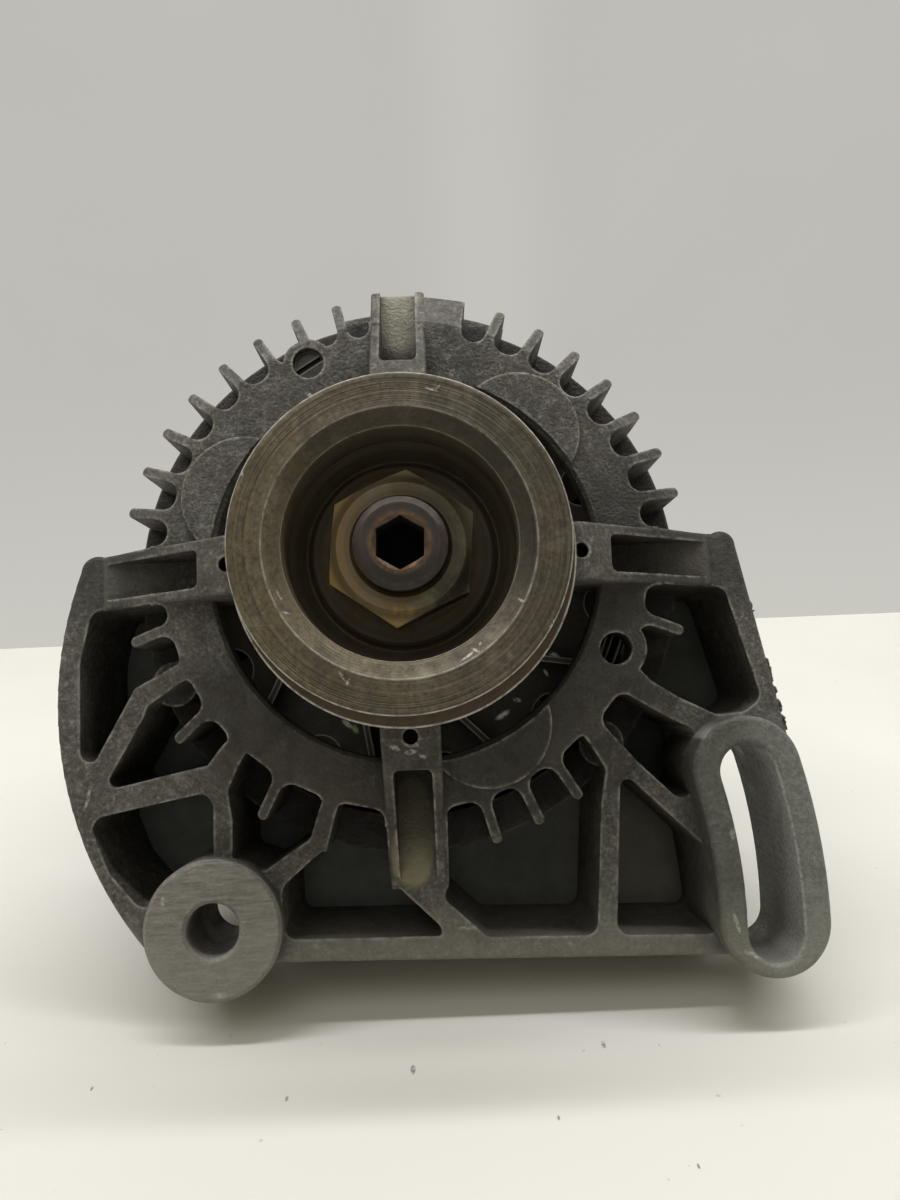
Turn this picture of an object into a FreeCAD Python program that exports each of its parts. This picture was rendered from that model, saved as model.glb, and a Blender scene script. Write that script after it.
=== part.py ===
import FreeCAD, Part
import math
import os

# Car alternator. Millimetres. The shaft lies along Y through the origin, which is the
# centre of its threaded end. +Y points to the rear of the machine, +X to the right when
# the pulley is looked at, +Z up. Angles are counted from +X towards +Z.

Vec = FreeCAD.Vector
ORIGIN = Vec(0, 0, 0)
AXIS = Vec(0, 1, 0)

# Shaft and its stations
thread_r = 8.0
seat_r = 8.5
rear_seat_r = 6.0
hex_socket_af = 8.0
hex_socket_depth = 9.0
nut_front_y = 4.0
nut_thick = 8.5
nut_af = 24.0
nut_turn = 24.7
nut_chamfer_inset = 1.0
nut_chamfer_depth = 2.6
hub_seat_y = nut_front_y + nut_thick

# Pulley
pulley_front_y = -1.7
pulley_rim_width = 15.2
pulley_front_r = 28.6
pulley_rear_r = 31.0
pulley_land = 1.8
pulley_face_r = 22.75
pulley_cup_r = 19.8
groove_root_r = 22.4
groove_root_width = 3.6
cup_floor_y = 9.5
cup_mouth_depth = 1.8
cup_groove = 2.2
hub_boss_r = 16.6
hub_boss_round = 0.6
rim_break = 0.5
pulley_hub_r = 13.0
pulley_hub_rear_y = 18.0
pulley_back_r = 23.4
pulley_web_step = 2.3

# Drive-end bearing, 17 x 47 x 14
bearing_y = 21.0
bearing_width = 14.0
bearing_r = 23.5
bearing_inner_r = 11.9
bearing_outer_land_r = 19.6
bearing_ball_r = 4.6
bearing_ball_count = 7
bearing_rear_y = bearing_y + bearing_width

# Bearing retainer, spacers
retainer_thick = 2.0
retainer_r = 28.8
retainer_bore_r = 17.5
retainer_screw_r = 1.6
retainer_screw_grip = 8.0
retainer_screw_head_r = 3.2
retainer_screw_head = 2.0
retainer_screw_circle_r = 25.9
retainer_angles = (45.0, 165.0, 285.0)
spacer_r = 12.0

# Slip-ring-end bearing, 12 x 32 x 10
rear_bearing_y = 99.5
rear_bearing_width = 10.0
rear_bearing_r = 16.0
rear_bearing_inner_r = 8.4
rear_bearing_land_r = 13.3
rear_bearing_ball_r = 2.95
rear_bearing_ball_count = 7

# Drive-end bracket: hub, ring, fins and arms
hub_r = 29.0
hub_front_y = 16.0
hub_round = 2.0
hub_mouth_r = 18.0
ring_front_y = 26.5
ring_thick = 4.8
ring_flat_r = 49.5
ring_edge_r = 50.0
inlet_r = 37.5
inlet_chamfer = 0.7
scallop_r = 47.0
fin_width = 2.0
rim_front_y = 46.5
top_pad_rise = 2.2
top_pad_angles = (67.5, 104.0)
front_slope = 0.8
arm_slope = 0.66
arm_half = 5.5
arm_rib = 1.9
arm_start_r = 33.0
arm_pocket_r = 38.8
arm_reach = {0: 65.0, 90: 58.4, 180: 64.0, 270: 63.0}
arm_pocket_reach = {0: 62.5, 90: 66.0, 180: 61.5, 270: 61.3}
arm_pocket_round = 1.2
arm_dimple_r = 1.4
arm_dimple_circle_r = 32.6
arm_dimple_depth = 6.0
pad_r = 12.2
pad_circle_r = 34.4
pad_height = 0.6
edge_round = 1.0
screw_places = ((45.2, 113.5), (43.7, 336.0))
screw_boss_r = (4.9, 6.0)
screw_hole_r = 3.1
pad_angles = (48.0, 155.0, 295.0)
upper_fins = [14 + 9 * i for i in range(7)] + [103 + 9 * i for i in range(8)]
lower_fins = [193.0, 214.7, 237.7, 286.2, 295.5, 304.7, 331.1, 345.0]
rib_roots = [203.4, 224.5, 250.4, 316.2]

# Cradle
cradle_front_y = 35.3
cradle_floor_y = 63.0
floor_thick = 3.5
rib_width = 3.2
corner_r = 2.6
corner_reach = 3.4
cradle_bottom_z = -75.6

# Lugs
pivot_x = -39.9
pivot_z = -68.5
pivot_r = 13.4
pivot_bore_r = 5.1
pivot_front_y = 31.8
pivot_length = 25.2
pivot_chamfer = 0.7
pivot_relief_r = 12.0
slot_radius = 107.5
slot_half = 5.3
slot_span = (-2.4, 14.0)
slot_lug_half = 10.6
slot_lug_span = (-1.1, 14.1)
slot_front_y = 28.3
slot_length = 24.5

# Stator
stator_y = 51.2
stator_length = 30.0
stator_r = 56.0
rim_wall = 1.6
rim_r = stator_r + rim_wall
fin_drop = 0.2
fin_tip_r = rim_r - fin_drop
lower_fin_drop = 1.0
lower_fin_tip_r = rim_r - lower_fin_drop
stator_bore_r = 42.2
slot_count = 36
stator_slot_width = 3.6
back_iron = 6.5
stator_slot_r = stator_r - back_iron
register_depth = 3.3
winding_bar_width = 3.0
winding_in_r = 43.4
slot_liner = 0.3
winding_out_r = stator_slot_r - slot_liner
overhang_clear = 1.0
overhang_room_r = winding_out_r + overhang_clear
overhang = 6.6
fan_room_rear_y = 43.0
stator_rear_y = stator_y + stator_length
stator_mid_y = stator_y + stator_length / 2

# Rotor
air_gap = 0.5
rotor_r = stator_bore_r - air_gap
rotor_half_length = 22.0
pole_disc = 10.5
pole_disc_r = 30.0
pole_core_r = 21.0
pole_pairs = 6
claw_root = 9.5
claw_tip = 3.6
claw_root_width = 19.0
claw_tip_width = 8.5
claw_tip_short = 4.2
bobbin_wall = 1.3
bobbin_r = 31.4
pole_front_y = stator_mid_y - rotor_half_length
pole_rear_y = stator_mid_y + rotor_half_length

# Fans
fan_sheet = 1.3
fan_r = 42.0
fan_root_r = 31.5
fan_lean = 5.0
fan_notch_r = 4.4
front_blades = 10
front_blade = 6.2
rear_blades = 9
rear_blade = 6.6

# Through bolts
bolt_r = 2.5
bolt_inset = 2.8
bolt_circle_r = stator_r - bolt_inset
bolt_angles = (80.5, 203.4, 316.2)
bolt_tip_y = 41.0
bolt_head_af = 8.0
bolt_head = 4.0
bolt_head_y = 95.5
bolt_boss_r = 4.6
bolt_head_room_r = 5.4

# Slip-ring-end bracket
rear_wall_y = 98.0
rear_wall = 4.0
rear_shell_r = 54.5
rear_boss_r = 20.5
rear_boss_front_y = 96.0
rear_window_y = (84.0, 95.0)
rear_window_width = 6.4
rear_window_count = 24
rear_inlet = (26.0, 41.0)
rear_inlet_width = 8.0
rear_inlet_taper = 0.7
rear_inlet_count = 12
rear_face_y = rear_wall_y + rear_wall

# Slip rings and brushes
slip_ring_y = 114.0
slip_ring_width = 5.5
slip_ring_gap = 2.0
slip_ring_r = 7.0
slip_ring_bore_r = 5.4
ring_seat_r = 4.0
ring_collar = 2.5
shaft_rear_y = 131.0
brush_x = 6.5
brush_y = 4.8
brush_top_z = 22.0
brush_clear = 0.08
ring_clear = 0.05
brush_ys = [slip_ring_y + slip_ring_width / 2 + i * (slip_ring_width + slip_ring_gap) for i in (0, 1)]

# Brush holder and regulator
holder_half_x = 10.5
holder_y = (112.0, 129.5)
holder_z = (8.6, 36.0)
holder_roof = 2.5
holder_ear_x = -20.0
holder_ear = (5.0, 22.0, 33.0)
regulator_x = (10.8, 33.0)
regulator_y = (112.0, 124.0)
regulator_z = (9.0, 32.0)
stand_r = 4.2
stand_places = ((27.0, 14.5), (-15.5, 27.5))
stand_screw_r = 2.0
spring_r = 1.7
spring_wire_r = 0.3
spring_turns = 7

# Rectifier
sink_in_r = 22.0
sink_out_r = 39.0
sink_from = 150.0
sink_to = 370.0
sink_thick = 3.0
sink_gap = 7.0
sink_circle_r = 30.5
sink_screw_angles = (185.0, 270.0, 355.0)
sink_screw_r = 2.0
sink_spacer_r = 4.4
sink_washer = 0.8
diode_angles = (211.0, 240.5, 300.0)
diode_r = 6.4
diode_height = 3.4
diode_lead_r = 0.7
diode_lead = 3.0
lead_r = 0.9
lead_inset = 5.3

# Output stud and lamp terminal
output_angle = 160.0
output_r = 3.0
output_shank_r = 2.6
output_rear_y = 158.0
output_insulator_r = 6.4
output_insulator_rear_y = 144.0
output_nut_af = 10.0
output_nut = 5.0
lamp_x = 27.0
lamp_z = 25.5
lamp_r = 2.0
lamp_rear_y = 150.0
lamp_collar_r = 3.6

# Rear cover
cover_r = 51.5
cover_rear_y = 141.0
cover_wall = 2.2
lead_circle_r = cover_r - cover_wall - lead_inset
cover_pillar_r = 4.5
cover_stud_r = 2.5
cover_stud_circle_r = 44.0
cover_stud_angles = (20.0, 140.0, 260.0)
cover_nut_af = 8.0
cover_nut = 4.0
cover_vents = 14
cover_slot_xs = (-14, -7, 0, 7, 14)
cover_slot_width = 3.2
cover_slot_circle_r = 30.0

# Pan-head screws of the rectifier and the regulator
pan_head_r = 3.6
pan_head = 2.6

# Clearances
bore_clear = 0.03
seat_clear = 0.05
side_clear = 0.3

# Beyond every solid, for cutters that have to clear the part
far_front_y = -20.0
far_rear_y = 200.0
far_r = 150.0


def at(r, deg):
    """X and Z of a point at a radius and an angle."""
    a = math.radians(deg)
    return r * math.cos(a), r * math.sin(a)


def cyl(r, y0, y1, x=0.0, z=0.0):
    return Part.makeCylinder(r, y1 - y0, Vec(x, y0, z), AXIS)


def tube(r_out, r_in, y0, y1, x=0.0, z=0.0):
    return cyl(r_out, y0, y1, x, z).cut(cyl(r_in, y0 - 1, y1 + 1, x, z))


def box(x0, x1, y0, y1, z0, z1):
    return Part.makeBox(x1 - x0, y1 - y0, z1 - z0, Vec(x0, y0, z0))


def turned(shape, deg):
    """A copy of the shape turned about the shaft."""
    s = shape.copy()
    s.rotate(ORIGIN, AXIS, -deg)
    return s


def revolved(points):
    """A solid of revolution about the shaft from (r, y) corners."""
    corners = [Vec(r, y, 0) for r, y in points]
    face = Part.Face(Part.makePolygon(corners + [corners[0]]))
    return face.revolve(ORIGIN, AXIS, 360)


def prism(wire, y0, y1):
    """A flat outline in the X-Z plane, drawn at y = 0, as a block from y0 to y1."""
    s = Part.Face(wire).extrude(Vec(0, y1 - y0, 0))
    s.translate(Vec(0, y0, 0))
    return s


def rounded(points, radius, reach_limit=far_r):
    """A closed outline through (x, z) corners. A corner is rounded as far as it fits and as its
    reach along the two sides allows, so an acute corner gets a smaller radius."""
    corners = [Vec(x, 0, z) for x, z in points]
    n = len(corners)
    edges = []
    first = None
    last = None
    for i in range(n):
        p, c, q = corners[i - 1], corners[i], corners[(i + 1) % n]
        u = (p - c).normalize()
        v = (q - c).normalize()
        half = u.getAngle(v) / 2
        r = radius[i] if isinstance(radius, (list, tuple)) else radius
        room = 0.48 * min((p - c).Length, (q - c).Length)
        reach = min(r / math.tan(half), room, reach_limit)
        if reach < 0.05 or half > 1.5:
            start, end, arc = c, c, None
        else:
            r = reach * math.tan(half)
            start = c + u * reach
            end = c + v * reach
            middle = c + (u + v).normalize() * (r / math.sin(half) - r)
            arc = Part.Arc(start, middle, end).toShape()
        if last is not None and (start - last).Length > 1e-6:
            edges.append(Part.makeLine(last, start))
        if first is None:
            first = start
        if arc is not None:
            edges.append(arc)
        last = end
    if (first - last).Length > 1e-6:
        edges.append(Part.makeLine(last, first))
    return Part.Wire(edges)


def hexagon(af, turn):
    """A hexagon outline of a width across flats, with a corner at the turn angle."""
    r = af / math.sqrt(3)
    points = [at(r, turn + 60 * i) for i in range(6)]
    corners = [Vec(x, 0, z) for x, z in points]
    return Part.makePolygon(corners + [corners[0]])


def band(path, width, y0, y1):
    """An upright rib of a width along a path of (x, z) points, with round ends and knees."""
    solids = []
    for (xa, za), (xb, zb) in zip(path, path[1:]):
        along = Vec(xb - xa, 0, zb - za)
        side = Vec(-along.z, 0, along.x).normalize() * (width / 2)
        a = Vec(xa, 0, za)
        b = Vec(xb, 0, zb)
        solids.append(prism(Part.makePolygon([a + side, b + side, b - side, a - side, a + side]), y0, y1))
    for x, z in path[1:-1]:
        solids.append(cyl(width / 2, y0, y1, x, z))
    return fuse(solids)


def fuse(solids):
    if len(solids) == 1:
        return solids[0]
    return solids[0].multiFuse(solids[1:]).removeSplitter()


def group(solids):
    return Part.makeCompound(solids)


parts = {}


# Pulley, nut and shaft

def make_pulley():
    rear_y = pulley_front_y + pulley_rim_width
    groove_mid = pulley_front_y + pulley_rim_width / 2
    profile = [
        (seat_r + bore_clear, hub_seat_y),
        (hub_boss_r - hub_boss_round, hub_seat_y),
        (hub_boss_r, hub_seat_y + hub_boss_round),
        (hub_boss_r, hub_seat_y + cup_groove - hub_boss_round),
        (hub_boss_r + hub_boss_round, hub_seat_y + cup_groove),
        (pulley_cup_r - cup_groove, hub_seat_y + cup_groove),
        (pulley_cup_r, cup_floor_y),
        (pulley_cup_r, pulley_front_y + cup_mouth_depth),
        (pulley_face_r, pulley_front_y),
        (pulley_front_r - rim_break, pulley_front_y),
        (pulley_front_r, pulley_front_y + rim_break),
        (pulley_front_r, pulley_front_y + pulley_land),
        (groove_root_r, groove_mid - groove_root_width / 2),
        (groove_root_r, groove_mid + groove_root_width / 2),
        (pulley_rear_r, rear_y - pulley_land),
        (pulley_rear_r, rear_y - rim_break),
        (pulley_rear_r - rim_break, rear_y),
        (pulley_back_r, rear_y),
        (pulley_back_r - pulley_web_step, rear_y + pulley_web_step),
        (pulley_hub_r, rear_y + pulley_web_step),
        (pulley_hub_r, pulley_hub_rear_y),
        (seat_r + bore_clear, pulley_hub_rear_y),
    ]
    return revolved(profile)


def make_nut():
    blank = prism(hexagon(nut_af, nut_turn), nut_front_y, hub_seat_y)
    corner = nut_af / math.sqrt(3)
    chamfer = revolved([
        (0, nut_front_y),
        (nut_af / 2 - nut_chamfer_inset, nut_front_y),
        (corner + 0.4, nut_front_y + nut_chamfer_depth),
        (corner + 0.4, hub_seat_y),
        (0, hub_seat_y),
    ])
    blank = blank.common(chamfer)
    bore = cyl(thread_r + bore_clear, nut_front_y - 1, hub_seat_y + 1)
    lead_in = revolved([
        (0, nut_front_y - 1),
        (thread_r + 1.8, nut_front_y - 1),
        (thread_r, nut_front_y + 0.8),
        (0, nut_front_y + 0.8),
    ])
    return blank.cut(bore).cut(lead_in)


def make_shaft():
    profile = [
        (0, 0),
        (thread_r - 1.2, 0),
        (thread_r, 1.2),
        (thread_r, hub_seat_y),
        (seat_r, hub_seat_y + 0.3),
        (seat_r, rear_bearing_y - 1.5),
        (rear_seat_r, rear_bearing_y - 1.5),
        (rear_seat_r, slip_ring_y - 2.5),
        (ring_seat_r, slip_ring_y - 2.5),
        (ring_seat_r, shaft_rear_y),
        (0, shaft_rear_y),
    ]
    body = revolved(profile)
    socket = prism(hexagon(hex_socket_af, 88.0), -1, hex_socket_depth)
    mouth_r = hex_socket_af / math.sqrt(3)
    mouth = revolved([(0, -1), (mouth_r + 1.0, -1), (mouth_r - 0.5, 0.5), (0, 0.5)])
    return body.cut(socket).cut(mouth)


# Bearings

def make_bearing(name, y0, width, bore_r, inner_r, land_r, outer_r, ball_r, balls):
    y1 = y0 + width
    mid = (y0 + y1) / 2
    pitch = (inner_r + land_r) / 2
    groove = Part.makeTorus(pitch, ball_r + bore_clear, Vec(0, mid, 0), AXIS)
    parts[name + "_inner_ring"] = tube(inner_r, bore_r + bore_clear, y0, y1).cut(groove)
    parts[name + "_outer_ring"] = tube(outer_r - bore_clear, land_r, y0, y1).cut(groove)
    spheres = []
    for i in range(balls):
        x, z = at(pitch, 360 * i / balls)
        spheres.append(Part.makeSphere(ball_r, Vec(x, mid, z)))
    parts[name + "_balls"] = group(spheres)
    cage_half = ball_r + 0.6
    cage = tube(pitch + ball_r * 0.3, pitch - ball_r * 0.3, mid - cage_half, mid + cage_half)
    for i in range(balls):
        window = Part.makeCylinder(ball_r + 0.15, ball_r, Vec(pitch - ball_r / 2, mid, 0), Vec(1, 0, 0))
        cage = cage.cut(turned(window, 360 * i / balls))
    parts[name + "_cage"] = cage
    seal_in = inner_r + 0.12
    seal_out = land_r - bore_clear
    seals = [tube(seal_out, seal_in, y, y + 0.9) for y in (y0 + 0.25, y1 - 1.15)]
    parts[name + "_seals"] = group(seals)


# Drive-end bracket

def front_limit(y_inner, r_flat, slope):
    """What lies in front of the casting: level out to r_flat, then sloping back to the cradle."""
    r_end = r_flat + (cradle_front_y - y_inner) / slope
    return revolved([
        (0, far_front_y), (far_r, far_front_y), (far_r, cradle_front_y),
        (r_end, cradle_front_y), (r_flat, y_inner), (0, y_inner),
    ])


def front_edges(shape, y):
    """The edges of a block that lie in its front plane."""
    return [e for e in shape.Edges if e.BoundBox.YMax < y + 0.01]


def slot_centre(deg):
    x, z = at(slot_radius, deg)
    return pivot_x + x, pivot_z + z


def slot_block(half, span, y0, y1):
    """The band about the pivot that the slot, or the lug round it, fills."""
    whole = tube(slot_radius + half, slot_radius - half, y0, y1, pivot_x, pivot_z)
    corners = [Vec(pivot_x, 0, pivot_z)]
    for deg in span:
        x, z = at(1.6 * slot_radius, deg)
        corners.append(Vec(pivot_x + x, 0, pivot_z + z))
    sector = prism(Part.makePolygon(corners + [corners[0]]), y0, y1)
    ends = [cyl(half, y0, y1, *slot_centre(deg)) for deg in span]
    return fuse([whole.common(sector)] + ends)


def make_slot_lug():
    """The slotted lug, rounded along both edges of its front face."""
    rear_y = slot_front_y + slot_length
    lug = slot_block(slot_lug_half, slot_lug_span, slot_front_y, rear_y)
    lug = lug.cut(slot_block(slot_half, slot_span, slot_front_y - 1, rear_y + 1))
    return lug.makeFillet(edge_round, front_edges(lug, slot_front_y))


def make_pivot_lug():
    """The pivot boss, chamfered at the ends of its outside and its bore."""
    lug = tube(pivot_r, pivot_bore_r, pivot_front_y, pivot_front_y + pivot_length, pivot_x, pivot_z)
    ends = [e for e in lug.Edges if e.BoundBox.YLength < 0.01]
    return lug.makeChamfer(pivot_chamfer, ends)


def make_arm(deg):
    """One of the four arms from the hub to the rim: level at the hub, then sloping back."""
    root_r = hub_r - 3
    reach = arm_reach[deg]
    end_y = hub_front_y + arm_slope * (reach - arm_start_r)
    rear_y = rim_front_y + 1
    side = [(root_r, hub_front_y), (arm_start_r, hub_front_y), (reach, end_y), (reach, rear_y),
            (root_r, rear_y)]
    corners = [Vec(r, y, -arm_half) for r, y in side]
    block = Part.Face(Part.makePolygon(corners + [corners[0]])).extrude(Vec(0, 0, 2 * arm_half))
    ridges = [e for e in block.Edges if e.BoundBox.XLength > 1 and e.BoundBox.YMax < rear_y - 1]
    return turned(block.makeFillet(edge_round, ridges), deg)


def fin(deg, tip_r):
    """One cooling fin: a thin radial plate with a rounded tip."""
    half = fin_width / 2
    plate = box(scallop_r - 1.5, tip_r - half, ring_front_y, rim_front_y + 1, -half, half)
    tip = cyl(half, ring_front_y, rim_front_y + 1, tip_r - half, 0)
    return turned(fuse([plate, tip]), deg)


def scallops(angles):
    """The rounded gaps that the fins leave in the edge of the ring."""
    cuts = []
    ring_rear_y = ring_front_y + ring_thick
    for a, b in zip(angles, angles[1:]):
        inset = math.degrees((fin_width / 2) / scallop_r)
        outer_inset = math.degrees((fin_width / 2) / (scallop_r + 5))
        points = [at(scallop_r, a + inset), at(scallop_r + 5, a + outer_inset),
                  at(scallop_r + 5, b - outer_inset), at(scallop_r, b - inset)]
        radii = [corner_r, 0.0, 0.0, corner_r]
        cuts.append(prism(rounded(points, radii), ring_front_y - 2, ring_rear_y + 1))
    return cuts


def cradle_outline():
    """Outside of the cradle, from the left arm down round the bottom to the right arm."""
    left_top = Vec(-62.0, 0, arm_half)
    left_shoulder = Vec(-66.6, 0, 2.6)
    left_belly = Vec(-71.3, 0, -26.2)
    left_foot = Vec(-53.0, 0, -73.6)
    foot = Vec(pivot_x, 0, cradle_bottom_z)
    right_foot = Vec(70.5, 0, cradle_bottom_z - 3.0)
    right_low = Vec(77.0, 0, -45.0)
    right_shoulder = Vec(67.6, 0, 3.0)
    right_top = Vec(63.0, 0, arm_half)
    edges = [
        Part.Arc(left_top, Vec(-65.2, 0, 5.1), left_shoulder).toShape(),
        Part.Arc(left_shoulder, left_belly, left_foot).toShape(),
        Part.makeLine(left_foot, foot),
        Part.makeLine(foot, right_foot),
        Part.makeLine(right_foot, right_low),
        Part.makeLine(right_low, right_shoulder),
        Part.Arc(right_shoulder, Vec(66.3, 0, 5.4), right_top).toShape(),
        Part.makeLine(right_top, left_top),
    ]
    return Part.Wire(edges)


def cradle_pockets():
    """Corners of each pocket between the ribs of the cradle. The inner ends reach under the ring."""
    under = scallop_r - 3.0
    top_z = -arm_half
    floor_z = cradle_bottom_z + 4.0
    left_arm = [at(under, 188), (-50.0, top_z), (-64.2, top_z), (-66.6, -16.0), (-66.5, -35.0),
                (-63.8, -36.2), (-55.6, -21.6), at(under + 2, 202.0)]
    left_middle = [at(under, 205.5), (-52.6, -25.2), (-62.2, -41.6), (-37.8, -36.6), at(under, 222.0)]
    left_low = [(-40.2, -42.4), (-65.0, -47.0), (-60.8, -57.4), (-54.4, -65.0), (-40.2, -57.0)]
    pivot_upper = [at(under, 227.0), (-36.4, -42.0), (-36.6, -56.6), (-30.6, -58.6), (-20.6, -52.0),
                   at(under, 248.6)]
    bottom_left = [at(under, 252.2), (-17.4, -53.6), (-27.0, -61.6), (-26.6, floor_z), (4.2, floor_z - 0.6),
                   (4.0, -70.4), (-5.6, -61.0), (-arm_half, -46.0), at(under, 262.0)]
    bottom_right = [at(under, 278.0), (arm_half + 0.4, -62.5), (4.6, -65.0), (13.0, floor_z - 1.2),
                    (34.6, floor_z - 1.8), (37.4, -41.0), at(under, 314.4)]
    right_low = [(41.0, -41.6), (38.4, floor_z - 2.0), (59.0, floor_z - 2.6), (57.4, -57.8)]
    right_middle = [(40.2, -26.0), (35.6, -31.4), (53.0, -48.6), (56.2, -45.0), (56.6, -34.4)]
    right_top = [at(under, 352.0), at(under + 4, 334.0), (46.8, -24.2), (61.2, -31.6), (66.8, -31.2),
                 (70.4, -28.6), (64.4, top_z), (50.0, top_z)]
    return [left_arm, left_middle, left_low, pivot_upper, bottom_left, bottom_right,
            right_low, right_middle, right_top]


def make_cradle():
    """The deep ribbed frame below the arms that carries both lugs."""
    rear_y = cradle_floor_y + floor_thick
    rim = prism(cradle_outline(), cradle_front_y, rear_y)
    rim = rim.makeFillet(edge_round, front_edges(rim, cradle_front_y))
    sloped_r = ring_flat_r + (cradle_front_y - ring_front_y) / front_slope
    near = prism(cradle_outline(), ring_front_y, cradle_front_y + 2 * edge_round)
    near = near.common(cyl(sloped_r, ring_front_y, rear_y))
    cradle = fuse([rim, near])
    pockets = [prism(rounded(corners, corner_r, corner_reach), ring_front_y - 5, cradle_floor_y)
               for corners in cradle_pockets()]
    under_ring = cyl(scallop_r - 0.5, ring_front_y - 5, rear_y + 1)
    above_arms = box(-60, 60, ring_front_y - 1, rear_y + 1, arm_half, 80)
    return cradle.cut(pockets + [under_ring, above_arms])


def make_ring():
    """The slotted ring round the air inlet, with its fins, bosses and the rim behind it."""
    rear_y = ring_front_y + ring_thick
    fin_rear_y = rim_front_y + 1
    inset = math.degrees((fin_width / 2) / scallop_r)
    arm_side = math.degrees(math.asin(arm_half / scallop_r)) - inset
    boss_side = math.degrees(math.asin(bolt_boss_r / scallop_r)) - inset
    sides = [deg + side for deg in arm_reach for side in (-arm_side, arm_side)] + [bolt_angles[0] - boss_side]
    angles = sorted(upper_fins + lower_fins + rib_roots + [deg % 360 for deg in sides])
    ring = cyl(ring_edge_r, ring_front_y, rear_y).cut(scallops(angles + [angles[0] + 360]))
    arm_roots = [turned(box(40, ring_edge_r, ring_front_y, rear_y, -arm_half, arm_half), deg)
                 for deg in arm_reach]
    rim = cyl(rim_r, rim_front_y, stator_y + register_depth)
    pad_sector = [(0, 0)] + [at(2 * rim_r, deg) for deg in top_pad_angles]
    top_pad = cyl(rim_r + top_pad_rise, rim_front_y, stator_y + register_depth)
    top_pad = top_pad.common(prism(rounded(pad_sector, [0.0] * 3), rim_front_y, stator_y + register_depth))
    fins = [fin(deg, fin_tip_r) for deg in upper_fins] + [fin(deg, lower_fin_tip_r) for deg in lower_fins]
    half = rib_width / 2
    roots = [turned(box(scallop_r - 2, rim_r, ring_front_y, fin_rear_y, -half, half), deg)
             for deg in rib_roots]
    screw_bosses = [cyl(boss_r, ring_front_y, rear_y + 2, *at(*place))
                    for boss_r, place in zip(screw_boss_r, screw_places)]
    bolt_bosses = [cyl(bolt_boss_r, bolt_tip_y - 3, fin_rear_y, *at(bolt_circle_r - 0.6, deg))
                   for deg in bolt_angles[1:]]
    top_boss = turned(box(scallop_r - 2, fin_tip_r, ring_front_y, fin_rear_y, -bolt_boss_r, bolt_boss_r),
                      bolt_angles[0])
    return fuse([ring, rim, top_pad] + arm_roots + fins + roots + screw_bosses + bolt_bosses + [top_boss])


def bracket_rooms():
    """What is bored and machined out of the bracket from its rear and its front."""
    rear_y = cradle_floor_y + floor_thick + 1
    clear_y = bearing_rear_y + 0.5
    mouth = revolved([
        (0, hub_front_y - 1), (hub_mouth_r, hub_front_y - 1), (hub_mouth_r, bearing_y),
        (bearing_r, bearing_y), (bearing_r, bearing_rear_y + 1), (0, bearing_rear_y + 1),
    ])
    inside = revolved([
        (0, bearing_rear_y), (hub_r + 4, bearing_rear_y), (hub_r + 4, clear_y), (scallop_r, clear_y),
        (scallop_r, fan_room_rear_y), (overhang_room_r, fan_room_rear_y), (overhang_room_r, stator_y),
        (stator_r + seat_clear, stator_y), (stator_r + seat_clear, rear_y), (0, rear_y),
    ])
    inlet = revolved([
        (hub_r, hub_front_y - 1), (inlet_r + inlet_chamfer, hub_front_y - 1),
        (inlet_r + inlet_chamfer, ring_front_y), (inlet_r, ring_front_y + inlet_chamfer),
        (inlet_r, clear_y), (hub_r, clear_y),
    ])
    inlet = inlet.cut([turned(box(0, 60, 0, 60, -arm_half, arm_half), deg) for deg in arm_reach])
    return [mouth, inside, inlet]


def bracket_holes():
    """Pockets of the arms, the slot, and every hole of the bracket."""
    cuts = []
    half = arm_half - arm_rib
    for deg, reach in arm_pocket_reach.items():
        outline = [(arm_pocket_r, -half), (reach, -half), (reach, half), (arm_pocket_r, half)]
        pocket = prism(rounded(outline, arm_pocket_round), hub_front_y - 1, cradle_front_y - 0.8)
        cuts.append(turned(pocket, deg))
        if deg != 90:
            place = at(arm_dimple_circle_r, deg)
            cuts.append(cyl(arm_dimple_r, hub_front_y - 1, hub_front_y + arm_dimple_depth, *place))
    for place in screw_places:
        cuts.append(cyl(screw_hole_r, far_front_y, ring_front_y + ring_thick + 3, *at(*place)))
    cuts.append(cyl(pivot_bore_r, far_front_y, far_rear_y, pivot_x, pivot_z))
    cuts.append(cyl(pivot_relief_r, pivot_front_y + pivot_length, far_rear_y, pivot_x, pivot_z))
    cuts.append(slot_block(slot_half, slot_span, far_front_y, far_rear_y))
    lug_shadow = slot_block(slot_lug_half, slot_lug_span, slot_front_y + slot_length, far_rear_y)
    inner_side = cyl(slot_radius - slot_half, far_front_y, far_rear_y, pivot_x, pivot_z)
    cuts.append(lug_shadow.cut(inner_side))
    for deg in bolt_angles:
        cuts.append(cyl(bolt_r + seat_clear, bolt_tip_y - side_clear, far_rear_y, *at(bolt_circle_r, deg)))
    for deg in retainer_angles:
        place = at(retainer_screw_circle_r, deg)
        cuts.append(cyl(retainer_screw_r + seat_clear, bearing_rear_y - retainer_screw_grip,
                        bearing_rear_y + 1, *place))
    return cuts


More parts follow.
